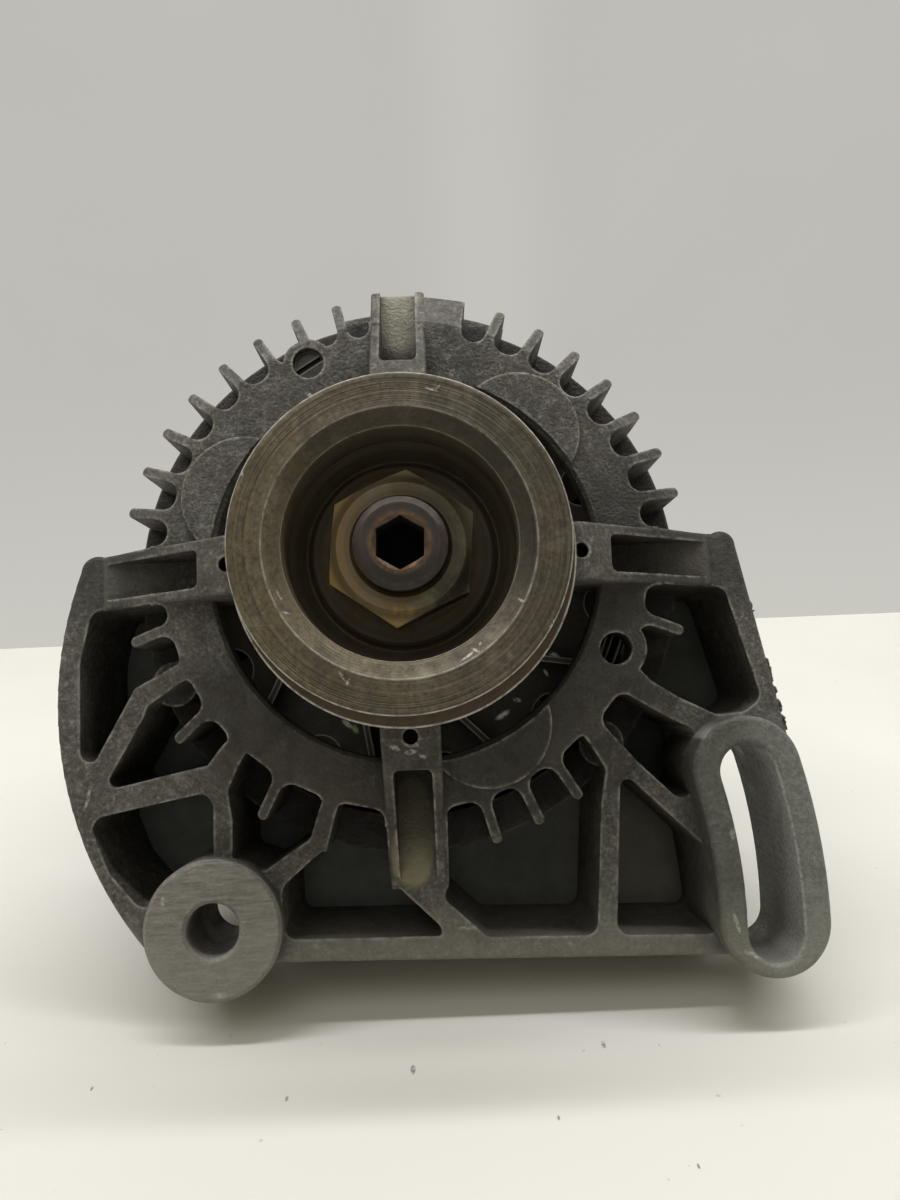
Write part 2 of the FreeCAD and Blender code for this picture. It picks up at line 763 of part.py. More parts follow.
def make_drive_end_bracket():
    """The front casting: hub, four arms, slotted ring, ribbed cradle and the two lugs."""
    ring_rear_y = ring_front_y + ring_thick
    body = fuse([make_ring(), make_cradle()]).cut(front_limit(ring_front_y, ring_flat_r, front_slope))
    hub = cyl(hub_r, hub_front_y, bearing_rear_y)
    hub = hub.makeFillet(hub_round, front_edges(hub, hub_front_y))
    arms = fuse([make_arm(deg) for deg in arm_reach]).cut(front_limit(hub_front_y, arm_start_r, arm_slope))
    pads = [cyl(pad_r, ring_front_y - pad_height, ring_rear_y - 1, *at(pad_circle_r, deg))
            for deg in pad_angles]
    pads = fuse(pads).common(tube(scallop_r - 0.4, inlet_r, ring_front_y - 1, ring_rear_y))
    body = fuse([body, hub, arms, pads, make_pivot_lug(), make_slot_lug()])
    for cut in bracket_rooms() + bracket_holes():
        body = body.cut(cut)
    return body


def make_set_screw():
    """Slotted screw sunk in the hole at the upper left of the ring."""
    y0 = ring_front_y + 1.6
    x, z = at(*screw_places[0])
    screw = cyl(screw_hole_r - seat_clear, y0, ring_front_y + ring_thick + 1.5, x, z)
    slot = box(-4, 4, y0 - 1, y0 + 1.0, -0.5, 0.5)
    slot.rotate(ORIGIN, AXIS, -32)
    slot.translate(Vec(x, 0, z))
    return screw.cut(slot)


def make_retainer():
    y0 = bearing_rear_y
    plate = tube(retainer_r, retainer_bore_r, y0, y0 + retainer_thick)
    screws = []
    for a in retainer_angles:
        place = at(retainer_screw_circle_r, a)
        plate = plate.cut(cyl(retainer_screw_r + side_clear, y0 - 1, y0 + retainer_thick + 1, *place))
        shank = cyl(retainer_screw_r, y0 - retainer_screw_grip + 0.5, y0 + retainer_thick, *place)
        head_y = y0 + retainer_thick
        head = cyl(retainer_screw_head_r, head_y, head_y + retainer_screw_head, *place)
        screws.append(fuse([shank, head]))
    parts["bearing_retainer_plate"] = plate
    parts["retainer_screws"] = group(screws)


# Rotor

def make_claw_pole():
    """The drive-end half of the rotor: a disc with a core and fingers that taper to the rear."""
    y0 = pole_front_y
    y1 = y0 + pole_disc
    tip_y = pole_rear_y - claw_tip_short
    solids = [cyl(pole_disc_r, y0, y1), cyl(pole_core_r, y1 - 1, stator_mid_y)]
    w = claw_root_width / 2
    v = claw_tip_width / 2
    for i in range(pole_pairs):
        root = box(pole_core_r, rotor_r + 2, y0, y1, -w, w)
        a = Part.makePolygon([Vec(rotor_r - claw_root, y1, -w), Vec(rotor_r + 2, y1, -w),
                              Vec(rotor_r + 2, y1, w), Vec(rotor_r - claw_root, y1, w),
                              Vec(rotor_r - claw_root, y1, -w)])
        b = Part.makePolygon([Vec(rotor_r - claw_tip, tip_y, -v), Vec(rotor_r + 2, tip_y, -v),
                              Vec(rotor_r + 2, tip_y, v), Vec(rotor_r - claw_tip, tip_y, v),
                              Vec(rotor_r - claw_tip, tip_y, -v)])
        finger = Part.makeLoft([a, b], True, True)
        solids.append(turned(fuse([root, finger]), i * 360 / pole_pairs))
    body = fuse(solids).common(cyl(rotor_r, y0, tip_y))
    return body.cut(cyl(seat_r + bore_clear, y0 - 1, y1 + 60))


def make_fan(y_sheet, y_blades, y_step, count):
    """A pressed sheet fan: a disc notched between its upright blades."""
    disc = tube(fan_r, seat_r + bore_clear, *sorted((y_sheet, y_sheet + y_step * fan_sheet)))
    blades = []
    for i in range(count):
        blade = band([(fan_root_r, 0), (fan_r - 0.8, fan_lean)], fan_sheet,
                     *sorted((y_sheet + y_step * 0.2, y_blades)))
        blades.append(turned(blade, i * 360 / count))
        notch = cyl(fan_notch_r, y_sheet - 5, y_sheet + 5, *at(fan_r, (i + 0.72) * 360 / count))
        disc = disc.cut(notch)
    return fuse([disc] + blades)


def make_rotor():
    parts["pulley_spacer"] = tube(spacer_r, seat_r + bore_clear, pulley_hub_rear_y, bearing_y)
    front_fan_y = pole_front_y - fan_sheet
    parts["rotor_spacer"] = tube(spacer_r, seat_r + bore_clear, bearing_rear_y, front_fan_y)
    parts["front_fan"] = make_fan(pole_front_y, front_fan_y - front_blade, -1, front_blades)
    parts["rear_fan"] = make_fan(pole_rear_y, pole_rear_y + fan_sheet + rear_blade, 1, rear_blades)
    front = make_claw_pole()
    parts["front_claw_pole"] = front
    rear = front.mirror(Vec(0, stator_mid_y, 0), AXIS)
    parts["rear_claw_pole"] = turned(rear, 180 / pole_pairs)
    y0 = pole_front_y + pole_disc + 0.3
    y1 = pole_rear_y - pole_disc - 0.3
    inner = pole_core_r + 0.2
    parts["field_bobbin"] = revolved([
        (inner, y0), (bobbin_r, y0), (bobbin_r, y0 + bobbin_wall),
        (inner + bobbin_wall, y0 + bobbin_wall), (inner + bobbin_wall, y1 - bobbin_wall),
        (bobbin_r, y1 - bobbin_wall), (bobbin_r, y1), (inner, y1),
    ])
    parts["field_winding"] = tube(bobbin_r - 0.8, inner + bobbin_wall, y0 + bobbin_wall, y1 - bobbin_wall)
    edges = []
    solids = []
    y = slip_ring_y
    for i in (0, 1):
        solids.append(tube(slip_ring_r, slip_ring_bore_r, y, y + slip_ring_width))
        edges.append((y, y + slip_ring_width))
        y += slip_ring_width + slip_ring_gap
    parts["slip_rings"] = group(solids)
    last = edges[1][1]
    collars = [tube(slip_ring_r - 0.5, ring_seat_r + bore_clear, a, b) for a, b in
               ((slip_ring_y - ring_collar, slip_ring_y), (edges[0][1], edges[1][0]), (last, last + 2.0))]
    core = tube(slip_ring_bore_r, ring_seat_r + bore_clear, slip_ring_y - ring_collar, last + 2.0)
    parts["slip_ring_insulator"] = fuse([core] + collars)


# Stator

def make_stator():
    y0, y1 = stator_y, stator_rear_y
    core = tube(stator_r, stator_bore_r, y0, y1)
    bars = []
    for i in range(slot_count):
        a = (i + 0.5) * 360 / slot_count
        core = core.cut(turned(box(stator_bore_r - 2, stator_slot_r, y0 - 1, y1 + 1,
                                   -stator_slot_width / 2, stator_slot_width / 2), a))
        bars.append(turned(box(winding_in_r, winding_out_r, y0 - 0.8, y1 + 0.8,
                               -winding_bar_width / 2, winding_bar_width / 2), a))
    for a in bolt_angles:
        w = bolt_r + side_clear
        notch = box(bolt_circle_r, stator_r + 2, y0 - 1, y1 + 1, -w, w)
        core = core.cut(turned(notch, a)).cut(cyl(w, y0 - 1, y1 + 1, *at(bolt_circle_r, a)))
    parts["stator_core"] = core
    ends = [tube(winding_out_r, winding_in_r, *span) for span in
            ((y0 - overhang, y0 - side_clear), (y1 + side_clear, y1 + overhang))]
    parts["stator_winding"] = fuse(ends + bars)


# Slip-ring end

def make_rear_bracket():
    rim_y = stator_rear_y - register_depth
    shell = revolved([
        (stator_r + seat_clear, rim_y), (rim_r, rim_y), (rim_r, stator_rear_y + 4.5),
        (rear_shell_r, rear_wall_y + 1.0), (rear_shell_r - 2.5, rear_face_y), (rear_boss_r, rear_face_y),
        (rear_boss_r, rear_bearing_y + rear_bearing_width),
        (rear_bearing_r, rear_bearing_y + rear_bearing_width),
        (rear_bearing_r, rear_bearing_y), (rear_bearing_inner_r + 2.0, rear_bearing_y),
        (rear_bearing_inner_r + 2.0, rear_boss_front_y), (rear_boss_r - 1.5, rear_boss_front_y),
        (rear_boss_r, rear_wall_y), (rear_shell_r - 5.0, rear_wall_y), (overhang_room_r, rear_wall_y - 4.0),
        (overhang_room_r, stator_rear_y), (stator_r + seat_clear, stator_rear_y),
    ])
    room = cyl(overhang_room_r, stator_rear_y - 1, rear_wall_y - 4)
    bosses = [cyl(bolt_boss_r, stator_rear_y, bolt_head_y, *at(bolt_circle_r, a)).cut(room)
              for a in bolt_angles]
    stands = [cyl(stand_r, rear_face_y - 1, holder_y[0], x, z) for x, z in stand_places]
    cuts = []
    w = rear_window_width / 2
    for i in range(rear_window_count):
        a = (i + 0.5) * 360 / rear_window_count
        near = min(abs((a - b + 180) % 360 - 180) for b in bolt_angles)
        if near > 9:
            cuts.append(turned(box(overhang_room_r - 4, rim_r + 3, *rear_window_y, -w, w), a))
    w = rear_inlet_width / 2
    for i in range(rear_inlet_count):
        a = (i + 0.5) * 360 / rear_inlet_count
        spots = [math.degrees(math.atan2(z, x)) for x, z in stand_places] + list(sink_screw_angles)
        near = min(abs((a - b + 180) % 360 - 180) for b in spots)
        if near > 14:
            inner_w = w * rear_inlet_taper
            near_r, far_side_r = rear_inlet
            outline = [(near_r, -inner_w), (far_side_r, -w), (far_side_r, w), (near_r, inner_w)]
            cuts.append(turned(prism(rounded(outline, 1.5), rear_wall_y - 2, rear_face_y + 1), a))
    body = fuse([shell] + bosses + stands)
    for a in bolt_angles:
        cuts.append(cyl(bolt_r + side_clear, 0, far_rear_y, *at(bolt_circle_r, a)))
        cuts.append(cyl(bolt_head_room_r, bolt_head_y, far_rear_y, *at(bolt_circle_r, a)))
    for x, z in stand_places:
        cuts.append(cyl(stand_screw_r + seat_clear, rear_face_y + 1, far_rear_y, x, z))
    for a in sink_screw_angles:
        cuts.append(cyl(sink_screw_r + seat_clear, rear_wall_y - 1, far_rear_y, *at(sink_circle_r, a)))
    for a in cover_stud_angles:
        place = at(cover_stud_circle_r, a)
        cuts.append(cyl(cover_stud_r + seat_clear, rear_wall_y - 1, far_rear_y, *place))
    for a in diode_angles:
        cuts.append(cyl(lead_r + 0.6, rear_wall_y - 3, far_rear_y, *at(lead_circle_r, a)))
    for cut in cuts:
        body = body.cut(cut)
    return body


def make_through_bolts():
    bolts = []
    for a in bolt_angles:
        x, z = at(bolt_circle_r, a)
        shank = cyl(bolt_r, bolt_tip_y, bolt_head_y, x, z)
        head = prism(hexagon(bolt_head_af, a), bolt_head_y, bolt_head_y + bolt_head)
        head.translate(Vec(x, 0, z))
        bolts.append(fuse([shank, head]))
    return group(bolts)


def sink_plate(y0):
    """One rectifier plate: an arc about the shaft, open at the top where the brushes are."""
    plate = tube(sink_out_r, sink_in_r, y0, y0 + sink_thick)
    corners = [ORIGIN]
    for deg in (sink_to - 360, (sink_to - 360 + sink_from) / 2, sink_from):
        x, z = at(far_r, deg)
        corners.append(Vec(x, 0, z))
    return plate.cut(prism(Part.makePolygon(corners + [ORIGIN]), y0 - 1, y0 + sink_thick + 1))


def make_diodes(y0):
    solids = []
    for a in diode_angles:
        can_y = y0 + sink_thick + diode_height
        can = cyl(diode_r, y0 + 0.1, can_y, *at(sink_circle_r, a))
        lead = cyl(diode_lead_r, can_y - 0.5, can_y + diode_lead, *at(sink_circle_r, a))
        solids.append(fuse([can, lead]))
    return group(solids)


def make_rectifier():
    low_y = rear_face_y
    high_y = low_y + sink_thick + sink_gap
    top_y = high_y + sink_thick
    low = sink_plate(low_y)
    high = sink_plate(high_y)
    screws = []
    spacers = []
    neck_r = sink_screw_r + 1.1
    for a in sink_screw_angles:
        place = at(sink_circle_r, a)
        low = low.cut(cyl(sink_screw_r + side_clear, low_y - 1, low_y + 9, *place))
        high = high.cut(cyl(neck_r + seat_clear, high_y - 1, high_y + 9, *place))
        bush = tube(sink_spacer_r, sink_screw_r + seat_clear, low_y + sink_thick, high_y, *place)
        neck = tube(neck_r, sink_screw_r + seat_clear, high_y, top_y, *place)
        spacers.append(fuse([bush, neck]))
        spacers.append(tube(sink_spacer_r, sink_screw_r + seat_clear, top_y, top_y + sink_washer, *place))
        head_y = top_y + sink_washer
        shank = cyl(sink_screw_r, rear_wall_y + 0.5, head_y, *place)
        screws.append(fuse([shank, cyl(pan_head_r, head_y, head_y + pan_head, *place)]))
    for a in diode_angles:
        hole = cyl(diode_r, low_y - 1, top_y + 1, *at(sink_circle_r, a))
        low = low.cut(hole)
        high = high.cut(hole)
    stud_place = at(sink_circle_r, output_angle)
    high = high.cut(cyl(output_shank_r + seat_clear, high_y - 1, top_y + 1, *stud_place))
    parts["negative_heat_sink"] = low
    parts["positive_heat_sink"] = high
    parts["rectifier_spacers"] = group(spacers)
    parts["rectifier_screws"] = group(screws)
    parts["negative_diodes"] = make_diodes(low_y)
    parts["positive_diodes"] = make_diodes(high_y)
    leads = []
    bend_y = low_y + sink_thick + diode_height + diode_lead - 1.2
    for a in diode_angles:
        start_y = stator_rear_y + overhang
        run = cyl(lead_r, start_y, bend_y, *at(lead_circle_r, a))
        inner_r = sink_circle_r + diode_lead_r
        link = Part.makeCylinder(lead_r, lead_circle_r - inner_r, Vec(inner_r, bend_y, 0), Vec(1, 0, 0))
        elbow = Part.makeSphere(lead_r, Vec(lead_circle_r, bend_y, 0))
        leads.append(fuse([run, turned(fuse([link, elbow]), a)]))
    parts["phase_leads"] = group(leads)
    x, z = stud_place
    nut_y = output_insulator_rear_y
    nut_rear_y = nut_y + output_nut
    head = prism(hexagon(output_nut_af, 0), high_y - 3.0, high_y)
    head.translate(Vec(x, 0, z))
    shank = cyl(output_shank_r, high_y - 1, output_rear_y, x, z)
    thread = cyl(output_r, nut_rear_y, output_rear_y, x, z)
    parts["output_stud"] = fuse([head, shank, thread])
    bush = tube(output_insulator_r, output_shank_r + seat_clear, top_y, nut_y, x, z)
    parts["output_stud_insulator"] = bush
    nut = prism(hexagon(output_nut_af, 10), nut_y, nut_rear_y)
    nut.translate(Vec(x, 0, z))
    parts["output_stud_nut"] = nut.cut(cyl(output_shank_r + bore_clear, nut_y - 1, nut_rear_y + 1, x, z))


def make_brush_gear():
    y0, y1 = holder_y
    z0, z1 = holder_z
    block = box(-holder_half_x, holder_half_x, y0, y1, z0, z1)
    ear_thick, ear_z0, ear_z1 = holder_ear
    block = fuse([block, box(holder_ear_x, -holder_half_x + 1, y0, y0 + ear_thick, ear_z0, ear_z1)])
    names = ("front", "rear")
    half_x = brush_x / 2
    half_y = brush_y / 2
    bottom = math.sqrt(slip_ring_r ** 2 - half_x ** 2)
    roof = z1 - holder_roof
    for name, y in zip(names, brush_ys):
        grown = brush_clear
        channel = box(-half_x - grown, half_x + grown, y - half_y - grown, y + half_y + grown, z0 - 1, roof)
        block = block.cut(channel)
        brush = box(-half_x, half_x, y - half_y, y + half_y, bottom - 0.5, brush_top_z)
        parts[name + "_brush"] = brush.cut(cyl(slip_ring_r + ring_clear, y - 9, y + 9))
        length = roof - brush_top_z - 0.2
        pitch = (length - 2 * spring_wire_r) / spring_turns
        helix = Part.makeHelix(pitch, length - 2 * spring_wire_r, spring_r)
        ring = Part.makePolygon([Vec(spring_r + spring_wire_r * math.cos(math.pi * k / 3), 0,
                                     spring_wire_r * math.sin(math.pi * k / 3)) for k in range(7)])
        coil = Part.Wire(helix).makePipeShell([ring], True, True)
        coil.translate(Vec(0, y, brush_top_z + 0.1 + spring_wire_r))
        parts[name + "_brush_spring"] = coil
    ear_x, ear_z = stand_places[1]
    hole_r = stand_screw_r + seat_clear
    parts["brush_holder"] = block.cut(cyl(hole_r, y0 - 1, y0 + ear_thick + 1, ear_x, ear_z))
    body = box(*regulator_x, *regulator_y, *regulator_z)
    x, z = stand_places[0]
    parts["regulator"] = body.cut(cyl(hole_r, regulator_y[0] - 1, regulator_y[1] + 1, x, z))
    screws = []
    for (sx, sz), top in zip(stand_places, (regulator_y[1], y0 + ear_thick)):
        shank = cyl(stand_screw_r, rear_face_y + 1.5, top, sx, sz)
        screws.append(fuse([shank, cyl(pan_head_r, top, top + pan_head, sx, sz)]))
    parts["regulator_screws"] = group(screws)
    post = cyl(lamp_r, regulator_y[1], lamp_rear_y, lamp_x, lamp_z)
    collar = cyl(lamp_collar_r, regulator_y[1], cover_rear_y, lamp_x, lamp_z)
    parts["lamp_terminal"] = fuse([post, collar])


def make_cover():
    y0, y1 = rear_face_y, cover_rear_y
    outer = revolved([(0, y0), (cover_r, y0), (cover_r, y1 - 4), (cover_r - 4, y1), (0, y1)])
    inner = revolved([(0, y0 - 1), (cover_r - cover_wall, y0 - 1), (cover_r - cover_wall, y1 - 4.9),
                      (cover_r - cover_wall - 3.1, y1 - cover_wall), (0, y1 - cover_wall)])
    shell = outer.cut(inner)
    pillars = [cyl(cover_pillar_r, y0, y1 - cover_wall + 0.5, *at(cover_stud_circle_r, a))
               for a in cover_stud_angles]
    shell = fuse([shell] + pillars)
    for i in range(cover_vents):
        a = (i + 0.5) * 360 / cover_vents
        near = min(abs((a - b + 180) % 360 - 180) for b in cover_stud_angles)
        if near > 10:
            shell = shell.cut(turned(box(cover_r - 6, cover_r + 2, y0 + 4, y0 + 16, -3.2, 3.2), a))
    for x in cover_slot_xs:
        w = cover_slot_width / 2
        low_z = 4 - math.sqrt(cover_slot_circle_r ** 2 - x ** 2)
        outline = [(x - w, low_z), (x + w, low_z), (x + w, 2), (x - w, 2)]
        shell = shell.cut(prism(rounded(outline, w - 0.1), y1 - 9, y1 + 1))
    studs = []
    nuts = []
    for a in cover_stud_angles:
        x, z = at(cover_stud_circle_r, a)
        shell = shell.cut(cyl(cover_stud_r + side_clear, y0 - 1, y1 + 1, x, z))
        studs.append(cyl(cover_stud_r, rear_wall_y + 0.5, y1 + cover_nut + 1.5, x, z))
        nut = prism(hexagon(cover_nut_af, a), y1, y1 + cover_nut)
        nut.translate(Vec(x, 0, z))
        nuts.append(nut.cut(cyl(cover_stud_r + bore_clear, y1 - 1, y1 + 9, x, z)))
    x, z = at(sink_circle_r, output_angle)
    shell = shell.cut(cyl(output_insulator_r + side_clear, y1 - 9, y1 + 1, x, z))
    shell = shell.cut(cyl(lamp_collar_r + side_clear, y1 - 9, y1 + 1, lamp_x, lamp_z))
    parts["rear_cover"] = shell
    parts["cover_studs"] = group(studs)
    parts["cover_nuts"] = group(nuts)


parts["pulley"] = make_pulley()
parts["pulley_nut"] = make_nut()
parts["rotor_shaft"] = make_shaft()
make_bearing("front_bearing", bearing_y, bearing_width, seat_r, bearing_inner_r, bearing_outer_land_r,
             bearing_r, bearing_ball_r, bearing_ball_count)
make_bearing("rear_bearing", rear_bearing_y, rear_bearing_width, rear_seat_r, rear_bearing_inner_r,
             rear_bearing_land_r, rear_bearing_r, rear_bearing_ball_r, rear_bearing_ball_count)
parts["drive_end_bracket"] = make_drive_end_bracket()
parts["set_screw"] = make_set_screw()
make_retainer()
make_rotor()
make_stator()
parts["slip_ring_end_bracket"] = make_rear_bracket()
parts["through_bolts"] = make_through_bolts()
make_rectifier()
make_brush_gear()
make_cover()

os.makedirs("parts", exist_ok=True)
for name, shape in parts.items():
    shape.exportStep("parts/" + name + ".step")
    print(name, len(shape.Solids), round(shape.Volume), shape.isValid())
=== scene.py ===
import math
import random

import bmesh
import bpy
from mathutils import Matrix, Vector


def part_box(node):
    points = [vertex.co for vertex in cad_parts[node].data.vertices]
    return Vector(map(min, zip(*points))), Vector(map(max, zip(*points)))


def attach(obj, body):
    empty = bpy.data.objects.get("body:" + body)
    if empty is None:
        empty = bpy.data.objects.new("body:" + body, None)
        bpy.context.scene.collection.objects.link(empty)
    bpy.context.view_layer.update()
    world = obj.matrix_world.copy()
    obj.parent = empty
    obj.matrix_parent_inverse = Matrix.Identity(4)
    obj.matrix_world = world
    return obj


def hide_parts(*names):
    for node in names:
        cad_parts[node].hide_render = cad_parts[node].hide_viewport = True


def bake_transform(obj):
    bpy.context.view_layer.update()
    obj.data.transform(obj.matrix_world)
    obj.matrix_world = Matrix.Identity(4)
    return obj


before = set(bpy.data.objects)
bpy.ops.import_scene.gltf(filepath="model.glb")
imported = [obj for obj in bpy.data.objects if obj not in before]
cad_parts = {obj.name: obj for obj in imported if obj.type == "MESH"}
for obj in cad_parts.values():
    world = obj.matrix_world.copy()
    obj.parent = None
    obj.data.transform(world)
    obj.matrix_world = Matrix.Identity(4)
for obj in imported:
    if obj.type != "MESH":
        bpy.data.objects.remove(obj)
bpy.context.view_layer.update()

# A used car alternator. The shaft lies along Y through the origin, +Y points to the rear, +X to
# the right when the pulley is looked at, +Z up. Metres, except where a comment says millimetres.

MM = 0.001

# Places on the object, in millimetres
PIVOT_X, PIVOT_Z = -39.9, -68.5
PIVOT_LUG_R = 13.4
OUTPUT_X, OUTPUT_Z = -28.66, 10.43
LAMP_X, LAMP_Z = 27.0, 25.5
# The adjusting lug and its slot are arcs about the pivot: their inner and outer radii
LUG_ARC = (96.3, 119.0)
SLOT_ARC = (101.3, 113.7)
# Where the stator's wires lie behind the open screw hole of the ring, darkened there as painted shade
BEHIND_HOLE = (44.7, 46.5, -17.3)

# Radii of the pulley, in metres: its cup, the bevel at the cup's mouth, its face and its rims
CUP_R, MOUTH_R, FACE_R, RIM_R = 20.0 * MM, 22.7 * MM, 28.4 * MM, 30.7 * MM

# Scratches on the pulley's face: X, Z, half length and turn in degrees
FACE_NICKS = (
    (6.2, 25.2, 1.5, 20), (7.4, 25.6, 0.9, -50), (-19.8, -8.3, 1.5, 62), (-18.8, -11.1, 1.0, 10),
    (-9.8, -22.0, 1.8, 55), (-9.0, -22.6, 1.0, -60), (10.3, -19.4, 1.8, -35), (11.6, -18.4, 1.2, 30),
    (12.4, -17.6, 0.8, -70), (19.5, -10.7, 1.0, 40), (24.0, -14.9, 1.6, -55), (-25.6, 12.6, 1.4, 75))
# Scuffs on the front bracket: place, half sizes and turn
BRACKET_SCUFFS = (
    ((-2.9, 17, -34.5), (1.3, 4.0, 0.7), 20), ((-0.1, 17, -35.4), (1.5, 4.0, 0.6), -10),
    ((2.1, 17, -36.4), (1.1, 4.0, 0.5), 30), ((1.1, 17, -34.1), (0.7, 4.0, 0.3), 60),
    ((60.4, 28.3, -54.0), (0.8, 3.0, 1.3), 0), ((59.9, 28.3, -70.4), (0.5, 3.0, 2.6), -15),
    ((62.7, 28.3, -76.5), (2.6, 3.0, 0.6), 25), ((55.7, 28.3, -66.6), (0.5, 3.0, 3.0), -10),
    ((-38.8, 31.8, -80.4), (2.4, 2.0, 0.7), 0), ((-49.2, 31.8, -62.8), (0.6, 2.0, 1.6), 0),
    ((3.3, 22, -44.5), (0.4, 6.0, 3.4), 0), ((-6.6, 24, -50.6), (0.4, 6.0, 3.0), 0),
    ((9.6, 35.3, -70.9), (3.4, 2.0, 0.5), 0), ((27.0, 35.3, -72.4), (4.2, 2.0, 0.5), 0),
    ((-65.0, 35.3, -42.9), (0.5, 2.0, 3.0), 15), ((-17.9, 26.5, 34.9), (1.4, 2.0, 0.5), 30),
    ((31.8, 26.5, 37.1), (1.2, 2.0, 0.4), -20))
# Painted glints on the fan's sheet: place, half sizes, turn and tone
FAN_GLINTS = (
    ((30.0, 42, -18.0), (1.6, 8, 0.8), 30, "f2f1ea"), ((28.0, 42, -21.5), (1.3, 8, 0.5), 60, "e0dfd6"),
    ((18.5, 42, -30.0), (2.2, 8, 0.8), -30, "f2f1ea"), ((21.7, 42, -27.0), (1.2, 8, 0.6), 20, "d8d7cd"),
    ((-14.0, 42, -30.5), (1.8, 8, 0.7), 40, "c9c8bc"), ((-12.4, 42, -31.6), (1.4, 8, 0.8), 60, "98a878"))


def linear(code):
    """The linear colour of an sRGB hex value."""
    parts = [int(code[i:i + 2], 16) / 255 for i in (0, 2, 4)]
    return [v / 12.92 if v <= 0.04045 else ((v + 0.055) / 1.055) ** 2.4 for v in parts] + [1.0]


def per_mm(size):
    """The scale of a pattern whose features are about this many millimetres across."""
    return 1 / (size * MM)


def add(tree, kind, links=None, **settings):
    """Adds a node with its settings, and links or sets its sockets."""
    made = tree.nodes.new(kind)
    for key, value in settings.items():
        setattr(made, key, value)
    for socket, value in (links or {}).items():
        if isinstance(value, bpy.types.NodeSocket):
            tree.links.new(value, made.inputs[socket])
        else:
            made.inputs[socket].default_value = value
    return made


# How a surface is worked: the helpers below give a socket for a mask or a colour, or finish
# a shader.

def surface(name, **sockets):
    """A new material, with plain values written on its shader's own sockets."""
    material = bpy.data.materials.new(name)
    material.use_nodes = True
    shader = material.node_tree.nodes["Principled BSDF"]
    for key, value in sockets.items():
        shader.inputs[key.replace("_", " ")].default_value = value
    return material, material.node_tree, shader


def here(tree, stretch=(1, 1, 1), turn=(0, 0, 0), centre=(0, 0, 0)):
    """Object coordinates, in metres, moved to a centre, turned and stretched."""
    coordinate = add(tree, "ShaderNodeTexCoord").outputs["Object"]
    place = add(tree, "ShaderNodeVectorMath", {0: coordinate, 1: centre}, operation="SUBTRACT")
    return add(tree, "ShaderNodeMapping", {"Vector": place.outputs[0], "Scale": stretch,
                                           "Rotation": turn}).outputs[0]


def round_shaft(tree, turns=0.002):
    """Coordinates for turned work: radius, place along the shaft, and both with a little drift."""
    split = add(tree, "ShaderNodeSeparateXYZ", {0: add(tree, "ShaderNodeTexCoord").outputs["Object"]})
    flat = add(tree, "ShaderNodeCombineXYZ", {0: split.outputs[0], 2: split.outputs[2]})
    radius = add(tree, "ShaderNodeVectorMath", {0: flat.outputs[0]}, operation="LENGTH").outputs["Value"]
    # X scaled down makes the rings drift a little, without the seam that an angle has
    drift = add(tree, "ShaderNodeMath", {0: split.outputs[0], 1: turns}, operation="MULTIPLY")
    vector = add(tree, "ShaderNodeCombineXYZ", {0: radius, 1: split.outputs[1], 2: drift.outputs[0]})
    return radius, split.outputs[1], vector.outputs[0]


def speckle(tree, size, vector, low=0.0, high=1.0, detail=4.0, rough=0.55, seed=0.0):
    """Uneven noise of a size in millimetres, stretched to run from 0 at low to 1 at high."""
    field = add(tree, "ShaderNodeTexNoise", {"Vector": vector, "W": seed, "Scale": per_mm(size),
                                             "Detail": detail, "Roughness": rough}, noise_dimensions="4D")
    return add(tree, "ShaderNodeMapRange", {0: field.outputs[0], 1: low, 2: high}).outputs[0]


def between(tree, value, low, high):
    """1 where the value is past high, 0 below low, and smooth between them."""
    return add(tree, "ShaderNodeMapRange", {0: value, 1: low, 2: high},
               interpolation_type="SMOOTHSTEP").outputs[0]


def ranged(tree, value, low, high):
    """A mask of 0 to 1 carried over to run from low to high."""
    return add(tree, "ShaderNodeMapRange", {0: value, 3: low, 4: high}).outputs[0]


def blend(tree, amount, first, second):
    """The second colour laid over the first by an amount."""
    colours = [linear(c) if isinstance(c, str) else c for c in (first, second)]
    return add(tree, "ShaderNodeMix", {0: amount, 6: colours[0], 7: colours[1]},
               data_type="RGBA").outputs[2]


def times(tree, a, b, operation="MULTIPLY"):
    """Two masks multiplied, or joined by another operation, kept between 0 and 1."""
    return add(tree, "ShaderNodeMath", {0: a, 1: b}, operation=operation, use_clamp=True).outputs[0]


def around(tree, x, z, inner, outer):
    """1 within a radius of a line along the shaft's direction through X and Z, in millimetres."""
    across = here(tree, (1, 0, 1), (0, 0, 0), (x * MM, 0, z * MM))
    away = add(tree, "ShaderNodeVectorMath", {0: across}, operation="LENGTH").outputs["Value"]
    return between(tree, away, outer * MM, inner * MM)


def mark(tree, place, size, turn=0.0, core=0.5):
    """1 inside an oval patch: its centre and half sizes in millimetres, turned about the shaft's line."""
    coordinate = add(tree, "ShaderNodeTexCoord").outputs["Object"]
    local = add(tree, "ShaderNodeMapping", {"Vector": coordinate, "Location": [v * MM for v in place],
                                            "Rotation": (0, math.radians(turn), 0),
                                            "Scale": [v * MM for v in size]}, vector_type="TEXTURE")
    away = add(tree, "ShaderNodeVectorMath", {0: local.outputs[0]}, operation="LENGTH").outputs["Value"]
    return between(tree, away, 1.0, core)


def facing(tree, axis, low, high):
    """1 where a surface's normal leans along an axis by more than an amount."""
    normal = add(tree, "ShaderNodeNewGeometry").outputs["Normal"]
    amount = add(tree, "ShaderNodeVectorMath", {0: normal, 1: axis}, operation="DOT_PRODUCT")
    return between(tree, amount.outputs["Value"], low, high)


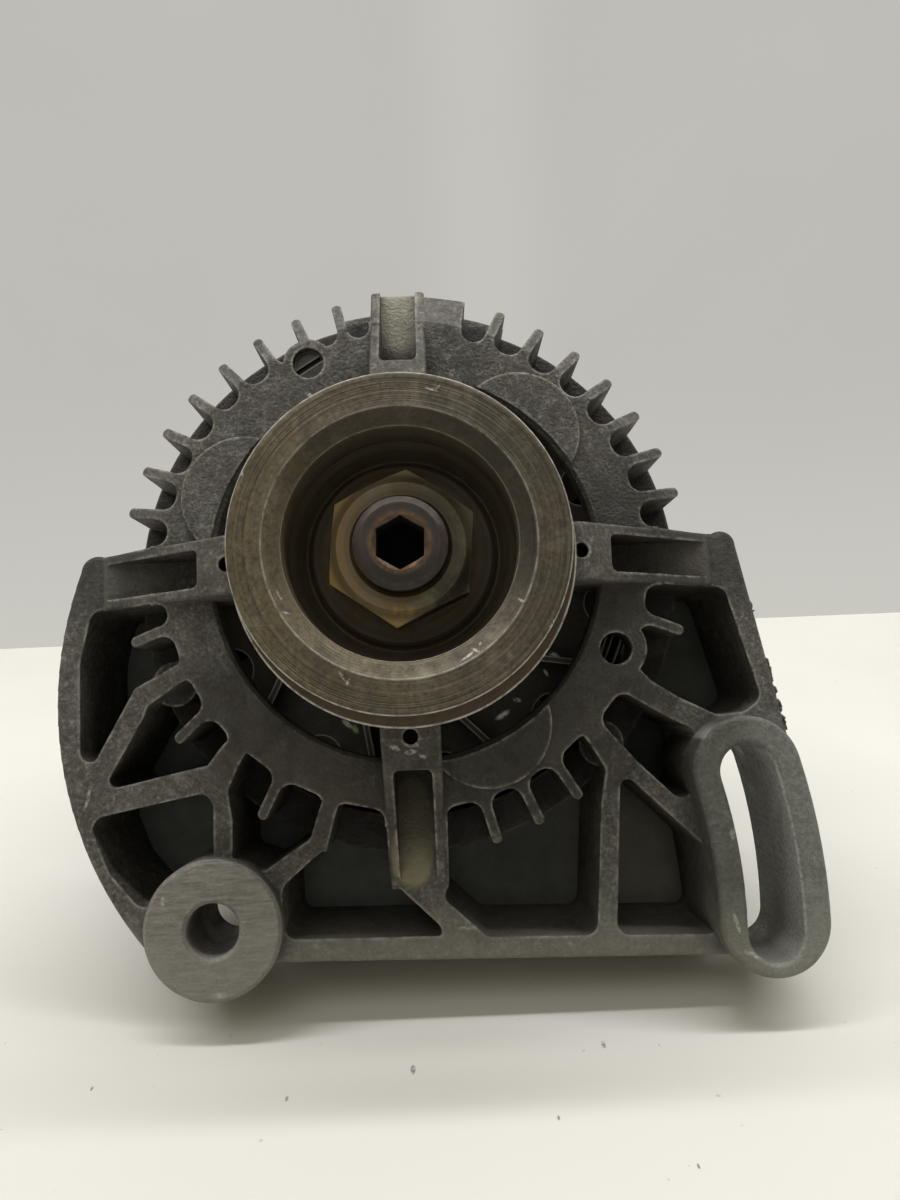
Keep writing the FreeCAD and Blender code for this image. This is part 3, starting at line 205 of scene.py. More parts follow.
def lean(tree, x, y, z):
    """How far a point lies from the origin along a direction, in millimetres."""
    along = add(tree, "ShaderNodeVectorMath", {0: here(tree), 1: (x / MM, y / MM, z / MM)},
                operation="DOT_PRODUCT")
    return along.outputs["Value"]


def shade_and_grime_in_hollows(tree, reach):
    """A mask for painted shade and grime: 1 in corners and deep pockets, 0 on open faces, by what lies
    within a reach in millimetres.
    """
    open_sky = add(tree, "ShaderNodeAmbientOcclusion", {"Distance": reach * MM}, samples=8,
                   only_local=True)
    return add(tree, "ShaderNodeMapRange", {0: open_sky.outputs["AO"], 1: 0.95, 2: 0.35}).outputs[0]


def sharp_edge(tree, reach):
    """1 along outside edges, where handling rubs a surface bright."""
    thin = add(tree, "ShaderNodeAmbientOcclusion", {"Distance": reach * MM}, samples=8, inside=True,
               only_local=True)
    return add(tree, "ShaderNodeMapRange", {0: thin.outputs["AO"], 1: 0.9, 2: 0.62}).outputs[0]


def relief(tree, shader, height, depth, edge):
    """Gives the shader a relief of a depth in millimetres, on edges rounded by a radius."""
    rounded = add(tree, "ShaderNodeBevel", {"Radius": edge * MM}, samples=6)
    bump = add(tree, "ShaderNodeBump", {"Height": height, "Distance": depth * MM, "Strength": 1.0,
                                        "Normal": rounded.outputs[0]})
    tree.links.new(bump.outputs[0], shader.inputs["Normal"])


def finish(tree, shader, colour, roughness):
    """Links the finished colour and roughness to the shader."""
    tree.links.new(colour, shader.inputs["Base Color"])
    tree.links.new(roughness, shader.inputs["Roughness"])


def ridges(tree, value, pitch):
    """Rounded ridges at a pitch in millimetres: 1 on their crests, 0 in the lines between."""
    phase = add(tree, "ShaderNodeMath", {0: value, 1: math.pi * per_mm(pitch)}, operation="MULTIPLY")
    wave = add(tree, "ShaderNodeMath", {0: phase.outputs[0]}, operation="SINE")
    return add(tree, "ShaderNodeMath", {0: wave.outputs[0]}, operation="ABSOLUTE").outputs[0]


def seen_directly(tree):
    """1 for rays from the camera, from mirrors and through clear things, 0 for the light that falls."""
    rays = add(tree, "ShaderNodeLightPath")
    seen = times(tree, rays.outputs["Is Camera Ray"], rays.outputs["Is Glossy Ray"], "ADD")
    return times(tree, seen, rays.outputs["Is Transmission Ray"], "ADD")


# Finishes

def die_cast(name, light, dark, dirt, edge_tone, cast_grain=0.18, places=None, dull_past=400.0):
    """Die-cast aluminium, oxidised and oily: a dull mottled grey with painted shade and grime in its
    corners, and rubbed edges.

    Past dull_past, in millimetres along the shaft, the edges aren't rubbed."""
    material, tree, shader = surface(name, Metallic=0.3)
    spot = here(tree)
    clouds = speckle(tree, 24, spot, 0.36, 0.64, 3)
    mottle = speckle(tree, 4.2, spot, 0.36, 0.64, 6, 0.66, 3.0)
    grit = speckle(tree, 0.7, spot, 0.4, 0.6, 4, 0.65, 5.0)
    colour = blend(tree, clouds, dark, light)
    colour = blend(tree, times(tree, mottle, 0.6), colour, dark)
    bloom = speckle(tree, 1.6, spot, 0.5, 0.68, 6, 0.7, 12.0)
    colour = blend(tree, times(tree, bloom, 0.5), colour, edge_tone)
    stain = speckle(tree, 8, spot, 0.52, 0.66, 6, 0.7, 9.0)
    colour = blend(tree, times(tree, stain, 0.5), colour, dirt)
    pits = speckle(tree, 1.3, spot, 0.56, 0.64, 4, 0.65, 14.0)
    colour = blend(tree, times(tree, pits, 0.4), colour, dirt)
    colour = blend(tree, times(tree, grit, 0.55), colour, dirt)
    flecks = speckle(tree, 0.9, spot, 0.55, 0.64, 4, 0.7, 17.0)
    colour = blend(tree, times(tree, flecks, 0.18), colour, edge_tone)
    if places:
        colour = places(tree, colour, spot)
    # Painted shade with some grime: corners and deep pockets darkened towards the dirt colour
    colour = blend(tree, times(tree, shade_and_grime_in_hollows(tree, 5.0), 0.5), colour, dirt)
    rub = times(tree, sharp_edge(tree, 0.8), speckle(tree, 2.6, spot, 0.42, 0.6, 6, 0.75, 20.0))
    rub = times(tree, rub, between(tree, lean(tree, 0, 1, 0), dull_past + 4.0, dull_past))
    colour = blend(tree, times(tree, rub, 0.65), colour, edge_tone)
    finish(tree, shader, colour, ranged(tree, mottle, 0.45, 0.8))
    skin = times(tree, times(tree, grit, 0.5), times(tree, mottle, 0.5), "ADD")
    relief(tree, shader, skin, cast_grain, 0.6)
    return material


def arc(tree, radii, soft):
    """1 between two radii about the pivot, in millimetres."""
    inner, outer = (around(tree, PIVOT_X, PIVOT_Z, r - soft, r + soft) for r in radii)
    return times(tree, outer, inner, "SUBTRACT")


def bracket_places(tree, colour, spot):
    """Where this casting is worn, fouled or painted with light and shade: a painted shadow of the pulley
    with belt dirt below it, clean lugs with painted light across the slot lug, painted light and dust in
    the top pocket, and painted shade deep in the pockets and at the lower arm's root.
    """
    along = lean(tree, 0, 1, 0)
    height = lean(tree, 0, 0, 1)
    # Painted shadow of the pulley, with oil from the belt: the ring darker below and to the right of the
    # pulley
    pulley_shadow_and_belt_oil = between(tree, lean(tree, 0.42, 0, -0.9), -8.0, 8.0)
    pulley_shadow_and_belt_oil = times(tree, pulley_shadow_and_belt_oil, around(tree, 0, 0, 50.0, 60.0))
    pulley_shadow_and_belt_oil = times(tree, pulley_shadow_and_belt_oil, between(tree, along, 20.0, 25.0))
    uneven = ranged(tree, speckle(tree, 7, spot, 0.25, 0.7, 4, 0.6, 30.0), 0.6, 1.0)
    colour = blend(tree, times(tree, pulley_shadow_and_belt_oil, uneven), colour, "28251f")
    rust_wash = times(tree, around(tree, -14, -40, 8.0, 34.0),
                      speckle(tree, 5, spot, 0.4, 0.7, 4, 0.6, 33.0))
    colour = blend(tree, times(tree, rust_wash, 0.45), colour, "3d2f20")
    ring_oil = times(tree, around(tree, 0, 0, 48.0, 52.0),
                     speckle(tree, 3.5, spot, 0.4, 0.62, 5, 0.65, 36.0))
    colour = blend(tree, times(tree, ring_oil, 0.4), colour, "3b3429")
    # Darker at the ends of the side arms; their upward faces get painted shade on top of that
    arm_ends = times(tree, mark(tree, (-60, 34, 3), (19, 18, 11)),
                     mark(tree, (63, 34, 0), (18, 20, 15)), "ADD")
    colour = blend(tree, times(tree, arm_ends, 0.7), colour, "312f2a")
    painted_shade_on_tops = times(tree, arm_ends, facing(tree, (0, 0, 1), 0.3, 0.7))
    colour = blend(tree, times(tree, painted_shade_on_tops, 0.7), colour, "1f1e1a")
    pivot_face = times(tree, around(tree, PIVOT_X, PIVOT_Z, PIVOT_LUG_R - 0.2, PIVOT_LUG_R + 0.2),
                       between(tree, along, 36.0, 33.0))
    scratch = speckle(tree, 0.5, here(tree, (0.12, 1, 1), (0, 0.5, 0)), 0.35, 0.65, 4, 0.6, 41.0)
    filed = blend(tree, scratch, "6c6962", "918e86")
    colour = blend(tree, times(tree, pivot_face, 0.7), colour, filed)
    band = times(tree, arc(tree, LUG_ARC, 0.5), between(tree, height, -28.0, -34.0))
    # Painted light: the slot lug's band goes from darker on the left to lighter on the right, and lit_side
    # paints a highlight on the slot's left-facing wall
    slot_tone = blend(tree, between(tree, lean(tree, 1, 0, 0), 61.0, 69.0), "57574f", "7f817b")
    lit_side = times(tree, arc(tree, SLOT_ARC, 0.3), facing(tree, (-1, 0, 0), 0.4, 0.8))
    slot_tone = blend(tree, lit_side, slot_tone, "c4c5bf")
    stipple = speckle(tree, 0.8, spot, 0.42, 0.6, 4, 0.65, 47.0)
    slot_tone = blend(tree, times(tree, stipple, 0.45), slot_tone, "3b3b36")
    colour = blend(tree, times(tree, band, 0.65), colour, slot_tone)
    # Painted light with dust: the forward-looking faces of the top arm's pocket painted pale
    top_pocket = mark(tree, (0.5, 44, 54), (7.5, 18, 12), 0, 0.7)
    inside_pocket = facing(tree, (0, -1, 0), 0.3, 0.6)
    colour = blend(tree, times(tree, times(tree, top_pocket, inside_pocket), 0.8), colour, "aeab9a")
    # Paler towards the foot of the bracket
    paler_near_foot = between(tree, height, -62.0, -76.0)
    colour = blend(tree, times(tree, paler_near_foot, 0.45), colour, "858479")
    pocket_floor = times(tree, facing(tree, (0, -1, 0), 0.6, 0.8), between(tree, along, 57.0, 60.0))
    floor_tone = blend(tree, between(tree, lean(tree, 1, 0, 0), -30.0, 35.0), "8e9394", "686a66")
    # Painted light with dust: the pocket floors paler low down on the right
    lit_floor_and_dust = times(tree, between(tree, height, -42.0, -64.0),
                       between(tree, lean(tree, 1, 0, 0), 25.0, 45.0))
    floor_tone = blend(tree, times(tree, lit_floor_and_dust, 0.7), floor_tone, "a8a699")
    colour = blend(tree, times(tree, pocket_floor, 0.85), colour, floor_tone)
    arm_floor = times(tree, arm_ends, facing(tree, (0, -1, 0), 0.6, 0.8))
    arm_floor = times(tree, arm_floor, between(tree, along, 34.0, 34.3))
    arm_floor = times(tree, arm_floor, between(tree, along, 35.1, 34.8))
    colour = blend(tree, times(tree, arm_floor, 0.35), colour, "625f55")
    low_arm = mark(tree, (-1, 34.5, -52), (5.2, 9, 12), 0, 0.8)
    low_arm = times(tree, low_arm, times(tree, inside_pocket, facing(tree, (0, 0, 1), 0.3, 0.6), "ADD"))
    colour = blend(tree, times(tree, low_arm, 0.6), colour, "5d5844")
    low_arm_end = times(tree, low_arm, between(tree, height, -50.0, -60.0))
    colour = blend(tree, times(tree, low_arm_end, 0.6), colour, "8b8469")
    # Painted shade: the front of the rim seen deep in the pockets painted near black
    rim_front = times(tree, facing(tree, (0, -1, 0), 0.5, 0.8), between(tree, along, 42.0, 44.0))
    rim_front = times(tree, rim_front, between(tree, along, 51.0, 50.0))
    rim_front = times(tree, rim_front, around(tree, 0, 0, 58.0, 59.0))
    colour = blend(tree, times(tree, rim_front, 0.8), colour, "191814")
    # Painted shadow: the lower arm's root under the pulley darkened
    arm_root = times(tree, mark(tree, (0, 17, -37), (9, 6, 7), 0, 0.5), uneven)
    colour = blend(tree, times(tree, arm_root, 0.6), colour, "191815")
    chips = speckle(tree, 0.7, spot, 0.4, 0.55, 4, 0.65, 44.0)
    for place, size, angle in BRACKET_SCUFFS:
        scuff = times(tree, mark(tree, place, size, angle, 0.4), chips)
        colour = blend(tree, times(tree, scuff, 0.8), colour, "a5a39a")
    return colour


def turned_pulley(name):
    """Turned steel gone brown: fine rings on the face, a black cup, a rusty groove, painted shade across
    the top of the cup's mouth and painted highlights along the nicked rims.
    """
    material, tree, shader = surface(name, Metallic=0.5)
    spot = here(tree)
    radius, along, rings = round_shaft(tree, 0.004)
    fine = speckle(tree, 0.45, rings, 0.4, 0.62, 3, 0.65)
    broad = speckle(tree, 2.2, rings, 0.38, 0.62, 3, 0.6, 4.0)
    tool_lines = speckle(tree, 0.6, rings, 0.57, 0.62, 2, 0.5, 6.0)
    mottle = speckle(tree, 3.0, spot, 0.36, 0.66, 6, 0.7, 7.0)
    side = between(tree, lean(tree, 1, 0, 0.35), 16.0, -24.0)
    face = blend(tree, side, "544e42", "70654a")
    face = blend(tree, times(tree, fine, 0.45), face, "7c725c")
    face = blend(tree, times(tree, broad, 0.45), face, "3b3327")
    face = blend(tree, times(tree, tool_lines, 0.6), face, "241e16")
    face = blend(tree, times(tree, mottle, 0.6), face, "45392a")
    speck = speckle(tree, 0.9, spot, 0.46, 0.6, 4, 0.7, 25.0)
    face = blend(tree, times(tree, speck, 0.5), face, "2d261c")
    glint = speckle(tree, 0.8, spot, 0.56, 0.66, 3, 0.6, 28.0)
    face = blend(tree, times(tree, glint, 0.2), face, "8a816c")
    cloud = speckle(tree, 9, spot, 0.5, 0.62, 6, 0.7, 11.0)
    face = blend(tree, times(tree, cloud, 0.5), face, "35312a")
    cleaned = speckle(tree, 6, spot, 0.54, 0.68, 6, 0.7, 21.0)
    face = blend(tree, times(tree, cleaned, 0.4), face, "7e7766")
    cup = blend(tree, broad, "4c483e", "625a48")
    cup = blend(tree, times(tree, speckle(tree, 4, spot, 0.46, 0.62, 5, 0.7, 2.0), 0.6), cup, "573f26")
    in_cup = times(tree, between(tree, radius, CUP_R + 0.4 * MM, CUP_R - 0.4 * MM),
                   between(tree, along, -1.2 * MM, 0.6 * MM))
    colour = blend(tree, in_cup, face, cup)
    mouth_band = times(tree, between(tree, radius, CUP_R - 0.4 * MM, CUP_R + 0.2 * MM),
                       between(tree, radius, MOUTH_R + 0.2 * MM, MOUTH_R - 0.1 * MM))
    # Painted shade across the top of the cup's mouth
    painted_shade_above = between(tree, lean(tree, 0.5, 0, 0.85), -6.0, 12.0)
    colour = blend(tree, times(tree, times(tree, mouth_band, painted_shade_above), 0.6), colour, "262319")
    groove = blend(tree, mottle, "241d16", "4a3826")
    in_groove = times(tree, between(tree, along, 0.4 * MM, 1.4 * MM),
                      between(tree, radius, CUP_R + 0.6 * MM, CUP_R + 1.2 * MM))
    colour = blend(tree, times(tree, in_groove, 0.95), colour, groove)
    # Painted highlights along the rim and lip edges, broken up where the rims are nicked
    painted_highlight = times(tree, between(tree, radius, FACE_R - 0.15 * MM, FACE_R + 0.1 * MM),
                 between(tree, along, -0.8 * MM, -1.2 * MM))
    painted_highlight = times(tree, painted_highlight, between(tree, radius, RIM_R - 0.15 * MM, RIM_R + 0.1 * MM), "ADD")
    mouth = times(tree, between(tree, radius, MOUTH_R - 0.25 * MM, MOUTH_R - 0.05 * MM),
                  between(tree, radius, MOUTH_R + 0.25 * MM, MOUTH_R + 0.1 * MM))
    inner_lip = times(tree, between(tree, radius, CUP_R - 0.1 * MM, CUP_R - 0.2 * MM),
                      between(tree, along, 0.6 * MM, 0.3 * MM))
    lips = times(tree, times(tree, mouth, 0.5), times(tree, inner_lip, 0.6), "ADD")
    painted_highlight = times(tree, painted_highlight, lips, "ADD")
    painted_highlight = times(tree, painted_highlight, speckle(tree, 2.0, spot, 0.34, 0.56, 6, 0.75, 6.0))
    colour = blend(tree, times(tree, painted_highlight, 0.85), colour, "b4b1a6")
    broken = speckle(tree, 0.6, spot, 0.4, 0.54, 4, 0.65, 31.0)
    for x, z, half_length, angle in FACE_NICKS:
        nick = times(tree, mark(tree, (x, -1.7, z), (half_length, 2.0, 0.3), angle, 0.4), broken)
        colour = blend(tree, times(tree, nick, 0.8), colour, "a8a497")
    dull = add(tree, "ShaderNodeMix", {0: in_cup, 2: ranged(tree, mottle, 0.38, 0.62), 3: 0.7})
    finish(tree, shader, colour, dull.outputs[0])
    relief(tree, shader, times(tree, fine, tool_lines, "SUBTRACT"), 0.05, 0.25)
    return material


def passivated(name):
    """Yellow-passivated steel, worn: a brown-gold film that turns olive where it has corroded, lighter on
    the left, with painted light on the chamfered corners, painted shade on the lower right and in the
    corners, and a painted gold glint low down.
    """
    material, tree, shader = surface(name, Metallic=0.5)
    spot = here(tree)
    film = speckle(tree, 4.0, spot, 0.3, 0.7, 5, 0.62)
    side = between(tree, lean(tree, 1, 0, 0.2), 9.0, -9.0)
    colour = blend(tree, side, "453f30", "735f42")
    colour = blend(tree, times(tree, film, 0.35), colour, "5c4c34")
    grey = speckle(tree, 6.0, spot, 0.5, 0.64, 5, 0.65, 4.0)
    colour = blend(tree, times(tree, grey, 0.5), colour, "6b685a")
    radius, along = round_shaft(tree)[:2]
    # Painted light: the chamfered corners painted much lighter
    corners = times(tree, between(tree, radius, 11.8 * MM, 13.4 * MM),
                    between(tree, along, 7.6 * MM, 7.0 * MM))
    colour = blend(tree, times(tree, corners, 0.9), colour, blend(tree, side, "87846c", "bda36e"))
    bore_edge = times(tree, between(tree, radius, 10.0 * MM, 9.5 * MM),
                      between(tree, radius, 8.0 * MM, 8.4 * MM))
    colour = blend(tree, times(tree, bore_edge, 0.25), colour, "2a2418")
    # Painted shade on the lower right, with some corrosion
    low_right = times(tree, between(tree, lean(tree, 0.75, 0, -0.66), 8.5, 11.5),
                      speckle(tree, 2.2, spot, 0.3, 0.5, 5, 0.65, 8.0))
    colour = blend(tree, times(tree, low_right, 0.9), colour, "1c1d15")
    verdigris = times(tree, mark(tree, (4.2, 4.0, -8.2), (2.6, 3, 1.6), 40),
                      speckle(tree, 1.1, spot, 0.4, 0.6, 4, 0.6, 15.0))
    colour = blend(tree, times(tree, verdigris, 0.8), colour, "5b6b43")
    # A painted gold glint low on the nut
    gold = times(tree, mark(tree, (-0.1, 4.4, -11.2), (2.8, 3, 1.4)),
                 speckle(tree, 1.0, spot, 0.42, 0.6, 4, 0.6, 18.0))
    colour = blend(tree, times(tree, gold, 0.8), colour, "8d7440")
    # Painted shade with some grime in the corners
    colour = blend(tree, times(tree, shade_and_grime_in_hollows(tree, 2), 0.35), colour, "1e1a12")
    rub = times(tree, sharp_edge(tree, 0.6), speckle(tree, 1.5, spot, 0.3, 0.6, 4, 0.6, 2.0))
    colour = blend(tree, times(tree, rub, 0.8), colour, "b0a27c")
    finish(tree, shader, colour, ranged(tree, film, 0.36, 0.6))
    relief(tree, shader, speckle(tree, 0.6, spot, 0.2, 0.8, 3), 0.03, 0.3)
    return material


def shaft_end(name):
    """The shaft's threaded end: purplish oxide, turned rings, a worn rim and a key socket painted black as
    painted shade.
    """
    material, tree, shader = surface(name, Metallic=0.5)
    spot = here(tree)
    radius, along, rings = round_shaft(tree)
    fine = speckle(tree, 0.35, rings, 0.3, 0.7, 3)
    film = speckle(tree, 3.2, spot, 0.35, 0.68, 5, 0.62, 3.0)
    colour = blend(tree, fine, "2b2624", "413936")
    colour = blend(tree, times(tree, film, 0.5), colour, "43382b")
    colour = blend(tree, times(tree, between(tree, lean(tree, 0, 0, 1), 1.0, -7.0), 0.75), colour, "1f1a18")
    rim = times(tree, between(tree, radius, 6.6 * MM, 7.0 * MM), between(tree, along, 1.8 * MM, 1.2 * MM))
    rim = times(tree, rim, speckle(tree, 1.6, spot, 0.25, 0.55, 4, 0.6, 2.0))
    colour = blend(tree, times(tree, rim, 0.15), colour, "857a70")
    mouth = times(tree, between(tree, radius, 5.7 * MM, 5.0 * MM), between(tree, along, 1.0 * MM, 0.4 * MM))
    mouth = times(tree, mouth, speckle(tree, 1.2, spot, 0.3, 0.6, 4, 0.6, 5.0))
    colour = blend(tree, times(tree, mouth, 0.7), colour, "6b5136")
    # Painted shade: the key socket's walls painted black
    socket = times(tree, between(tree, radius, 5.3 * MM, 4.9 * MM),
                   between(tree, along, 0.4 * MM, 0.9 * MM))
    socket = times(tree, socket, between(tree, along, 12.5 * MM, 11.5 * MM))
    colour = blend(tree, socket, colour, "0b0a0a")
    rough = add(tree, "ShaderNodeMix", {0: socket, 2: ranged(tree, film, 0.32, 0.5), 3: 0.9})
    finish(tree, shader, colour, rough.outputs[0])
    relief(tree, shader, fine, 0.02, 0.2)
    return material


def turned_steel(name, light, dark, edge_tone, metallic=0.8, roughness=(0.3, 0.5), ring=0.3,
                 rust=0.0):
    """Turned or ground steel: fine rings about the shaft, a thin oil film, painted shade with some grime in
    its corners, brighter edges.
    """
    material, tree, shader = surface(name, Metallic=metallic)
    spot = here(tree)
    rings = round_shaft(tree)[2]
    fine = speckle(tree, ring, rings, 0.3, 0.7, 3)
    film = speckle(tree, 4.0, spot, 0.35, 0.68, 4, 0.6, 3.0)
    colour = blend(tree, fine, dark, light)
    colour = blend(tree, times(tree, film, 0.45), colour, dark)
    if rust:
        spots = speckle(tree, 3.0, spot, 0.52, 0.64, 5, 0.65, 8.0)
        colour = blend(tree, times(tree, spots, rust), colour, "4f3320")
    # Painted shade with some grime in the corners
    colour = blend(tree, times(tree, shade_and_grime_in_hollows(tree, 3), 0.7), colour, "14120f")
    rub = times(tree, sharp_edge(tree, 0.6), speckle(tree, 1.6, spot, 0.25, 0.55, 4, 0.6, 2.0))
    colour = blend(tree, times(tree, rub, 0.7), colour, edge_tone)
    finish(tree, shader, colour, ranged(tree, film, *roughness))
    relief(tree, shader, fine, 0.012, 0.2)
    return material


def zinc_plated(name, tone="8f8e88", dull="6d6a62", metallic=0.8):
    """Zinc-plated steel: pale grey with a clouded white bloom and painted shade with some grime in its
    corners.
    """
    material, tree, shader = surface(name, Metallic=metallic)
    spot = here(tree)
    bloom = speckle(tree, 2.4, spot, 0.35, 0.7, 5, 0.6)
    colour = blend(tree, bloom, dull, tone)
    smears = speckle(tree, 5, spot, 0.56, 0.68, 4, 0.6, 4.0)
    colour = blend(tree, times(tree, smears, 0.5), colour, "4a4235")
    # Painted shade with some grime in the corners
    colour = blend(tree, times(tree, shade_and_grime_in_hollows(tree, 2.5), 0.8), colour, "211e19")
    colour = blend(tree, times(tree, sharp_edge(tree, 0.5), 0.4), colour, "b8b6ae")
    finish(tree, shader, colour, ranged(tree, bloom, 0.32, 0.55))
    relief(tree, shader, speckle(tree, 0.5, spot, 0.2, 0.8, 3), 0.012, 0.25)
    return material


def moulded(name, tone, scuff, roughness=(0.42, 0.6), grain=0.5):
    """Glass-filled moulded plastic: an even satin tone with a fine grain, scuffs and settled dust."""
    dust = "6b675e"
    material, tree, shader = surface(name, IOR=1.5)
    spot = here(tree)
    grit = speckle(tree, grain, spot, 0.25, 0.75, 3)
    patch = speckle(tree, 9, spot, 0.42, 0.7, 4, 0.6, 5.0)
    colour = blend(tree, times(tree, grit, 0.35), tone, scuff)
    settled = times(tree, facing(tree, (0, 0, 1), 0.2, 0.95), patch)
    colour = blend(tree, times(tree, patch, 0.25), colour, dust)
    colour = blend(tree, times(tree, settled, 0.3), colour, dust)
    colour = blend(tree, times(tree, sharp_edge(tree, 0.5), 0.35), colour, scuff)
    finish(tree, shader, colour, ranged(tree, patch, *roughness))
    relief(tree, shader, grit, 0.03, 0.35)
    return material


def wound_copper(name, light, dark, wire=0.75, along_shaft=True):
    """Enamelled copper wire under varnish: fine parallel turns with an orange-brown gloss."""
    material, tree, shader = surface(name, Metallic=0.55, Coat_Weight=0.5, Coat_Roughness=0.15)
    spot = here(tree)
    radius, along = round_shaft(tree)[:2]
    ridge = ridges(tree, along if along_shaft else radius, wire)
    patch = speckle(tree, 6, spot, 0.35, 0.65, 4)
    colour = blend(tree, patch, dark, light)
    colour = blend(tree, times(tree, between(tree, ridge, 0.45, 0.0), 0.7), colour, "1c100a")
    finish(tree, shader, colour, ranged(tree, patch, 0.25, 0.45))
    relief(tree, shader, ridge, wire * 0.4, 0.1)
    return material


def enamelled_wire(name):
    """Single enamelled wires of the stator coils: glossy red-brown to gold, dusty on top, with painted
    shade behind the ring's open screw hole.
    """
    material, tree, shader = surface(name, Metallic=0.6, Coat_Weight=0.6, Coat_Roughness=0.2)
    spot = here(tree)
    patch = speckle(tree, 5, spot, 0.35, 0.66, 4)
    colour = blend(tree, patch, "4a2a18", "7d4a26")
    dust = speckle(tree, 2.0, spot, 0.4, 0.66, 4, 0.6, 4.0)
    colour = blend(tree, times(tree, dust, 0.7), colour, "2b221b")
    # Painted shade: the wires behind the ring's open screw hole darkened near black
    soot_and_painted_shade = mark(tree, BEHIND_HOLE, (7, 8, 7))
    colour = blend(tree, times(tree, soot_and_painted_shade, 0.95), colour, "0c0b09")
    finish(tree, shader, colour, ranged(tree, patch, 0.3, 0.5))
    relief(tree, shader, speckle(tree, 0.8, spot), 0.02, 0.1)
    return material


def laminated(name):
    """Stacked stator sheets, 0.5 mm each: thin dark lines round the core under brown varnish and rust."""
    material, tree, shader = surface(name, Metallic=0.45)
    spot = here(tree)
    sheet = ridges(tree, round_shaft(tree)[1], 0.5)
    rust = speckle(tree, 5, spot, 0.42, 0.66, 5, 0.65)
    colour = blend(tree, rust, "47423b", "4d3222")
    soot_and_painted_shade = speckle(tree, 1.6, spot, 0.5, 0.7, 4, 0.6, 3.0)
    colour = blend(tree, times(tree, soot_and_painted_shade, 0.5), colour, "2a241e")
    colour = blend(tree, times(tree, between(tree, sheet, 0.5, 0.05), 0.6), colour, "14100c")
    finish(tree, shader, colour, ranged(tree, rust, 0.45, 0.75))
    relief(tree, shader, sheet, 0.06, 0.1)
    return material


def sooty_iron(name, light="4b443c", dark="2a2621", rust="4f3222", edge_tone="77726a", edges=0.4,
               glints=()):
    """Forged iron poles and pressed fans inside: dull brown-black with carbon dust and some rust, painted
    shade and grime in its hollows, rubbed edges and any painted glints it is given.
    """
    material, tree, shader = surface(name, Metallic=0.5)
    spot = here(tree)
    cloud = speckle(tree, 6, spot, 0.35, 0.66, 5, 0.6)
    colour = blend(tree, cloud, dark, light)
    colour = blend(tree, times(tree, speckle(tree, 3, spot, 0.54, 0.66, 5, 0.65, 6.0), 0.7), colour, rust)
    # Painted shade with some grime in the hollows
    colour = blend(tree, times(tree, shade_and_grime_in_hollows(tree, 5), 0.7), colour, "12100d")
    # Rubbed edges; given a large amount, as on the fan, they are painted glints
    colour = blend(tree, times(tree, sharp_edge(tree, 0.5), edges), colour, edge_tone)
    # Painted glints
    for place, size, angle, tone in glints:
        painted_highlight = times(tree, mark(tree, place, size, angle, 0.3),
                     speckle(tree, 1.0, spot, 0.35, 0.5, 4, 0.6, 9.0))
        colour = blend(tree, painted_highlight, colour, tone)
    finish(tree, shader, colour, ranged(tree, cloud, 0.4, 0.7))
    relief(tree, shader, speckle(tree, 0.7, spot, 0.2, 0.8, 4), 0.03, 0.2)
    return material


bracket_skin = die_cast("oxidised_die_cast_aluminium", "66635c", "4e4b44", "24221d", "a19e94",
                        places=bracket_places, dull_past=44.0)
rear_bracket_skin = die_cast("rear_die_cast_aluminium", "504d47", "3c3a35", "1b1915", "7d7a72")
pulley_skin = turned_pulley("tarnished_turned_steel")
nut_skin = passivated("yellow_passivated_steel")
shaft_skin = shaft_end("purplish_shaft_steel")
spacer_skin = turned_steel("oiled_turned_steel", "6b675f", "45423c", "a5a29a", rust=0.5)
race_skin = turned_steel("ground_bearing_steel", "8d8c88", "5f5e5a", "c0bfba", 0.9, (0.2, 0.4), 0.2)
ball_skin = turned_steel("polished_ball_steel", "a9a9a6", "8b8b88", "c0bfba", 1.0, (0.08, 0.16), 0.6)
slip_ring_skin = turned_steel("worn_slip_ring_copper", "9a6a4a", "6b4330", "c08a66", 0.9,
                              (0.25, 0.45), 0.25)
cage_skin = turned_steel("pressed_cage_brass", "8e7440", "66512c", "b49a62", 0.9, (0.3, 0.5), 0.6)
seal_skin = moulded("black_seal_rubber", "191817", "2a2826", (0.55, 0.75), 0.4)
zinc_skin = zinc_plated("zinc_plated_steel")
screw_skin = zinc_plated("blackened_set_screw_steel", "55524b", "34322d", 0.6)
stud_skin = zinc_plated("bright_terminal_steel", "a3a099", "7d7a72", 0.9)
brass_skin = zinc_plated("terminal_brass", "a08a4e", "75602f", 0.9)
can_skin = zinc_plated("nickel_diode_cans", "9a9992", "76746c", 0.85)
sink_skin = die_cast("rectifier_plate_aluminium", "8b8982", "6c6a63", "2c2a25", "b0aea6", 0.02)
cover_skin = moulded("black_glass_filled_cover", "201f1e", "34322f")
holder_skin = moulded("brown_phenolic_holder", "2e211a", "463528")
bobbin_skin = moulded("natural_nylon_bobbin", "6e6248", "857a60")
case_skin = moulded("black_regulator_epoxy", "1b1c1e", "303133", (0.25, 0.4), 0.8)
carbon_skin = moulded("copper_graphite_brushes", "2d2624", "54402f", (0.5, 0.7), 0.25)
coil_skin = enamelled_wire("varnished_copper_coils")
field_skin = wound_copper("field_coil_turns", "a05c2c", "6e3a1c")
lead_skin = wound_copper("tinned_phase_leads", "9a8a74", "77624a", 1.2, False)
stack_skin = laminated("laminated_stator_steel")
pole_skin = sooty_iron("sooty_claw_pole_iron")
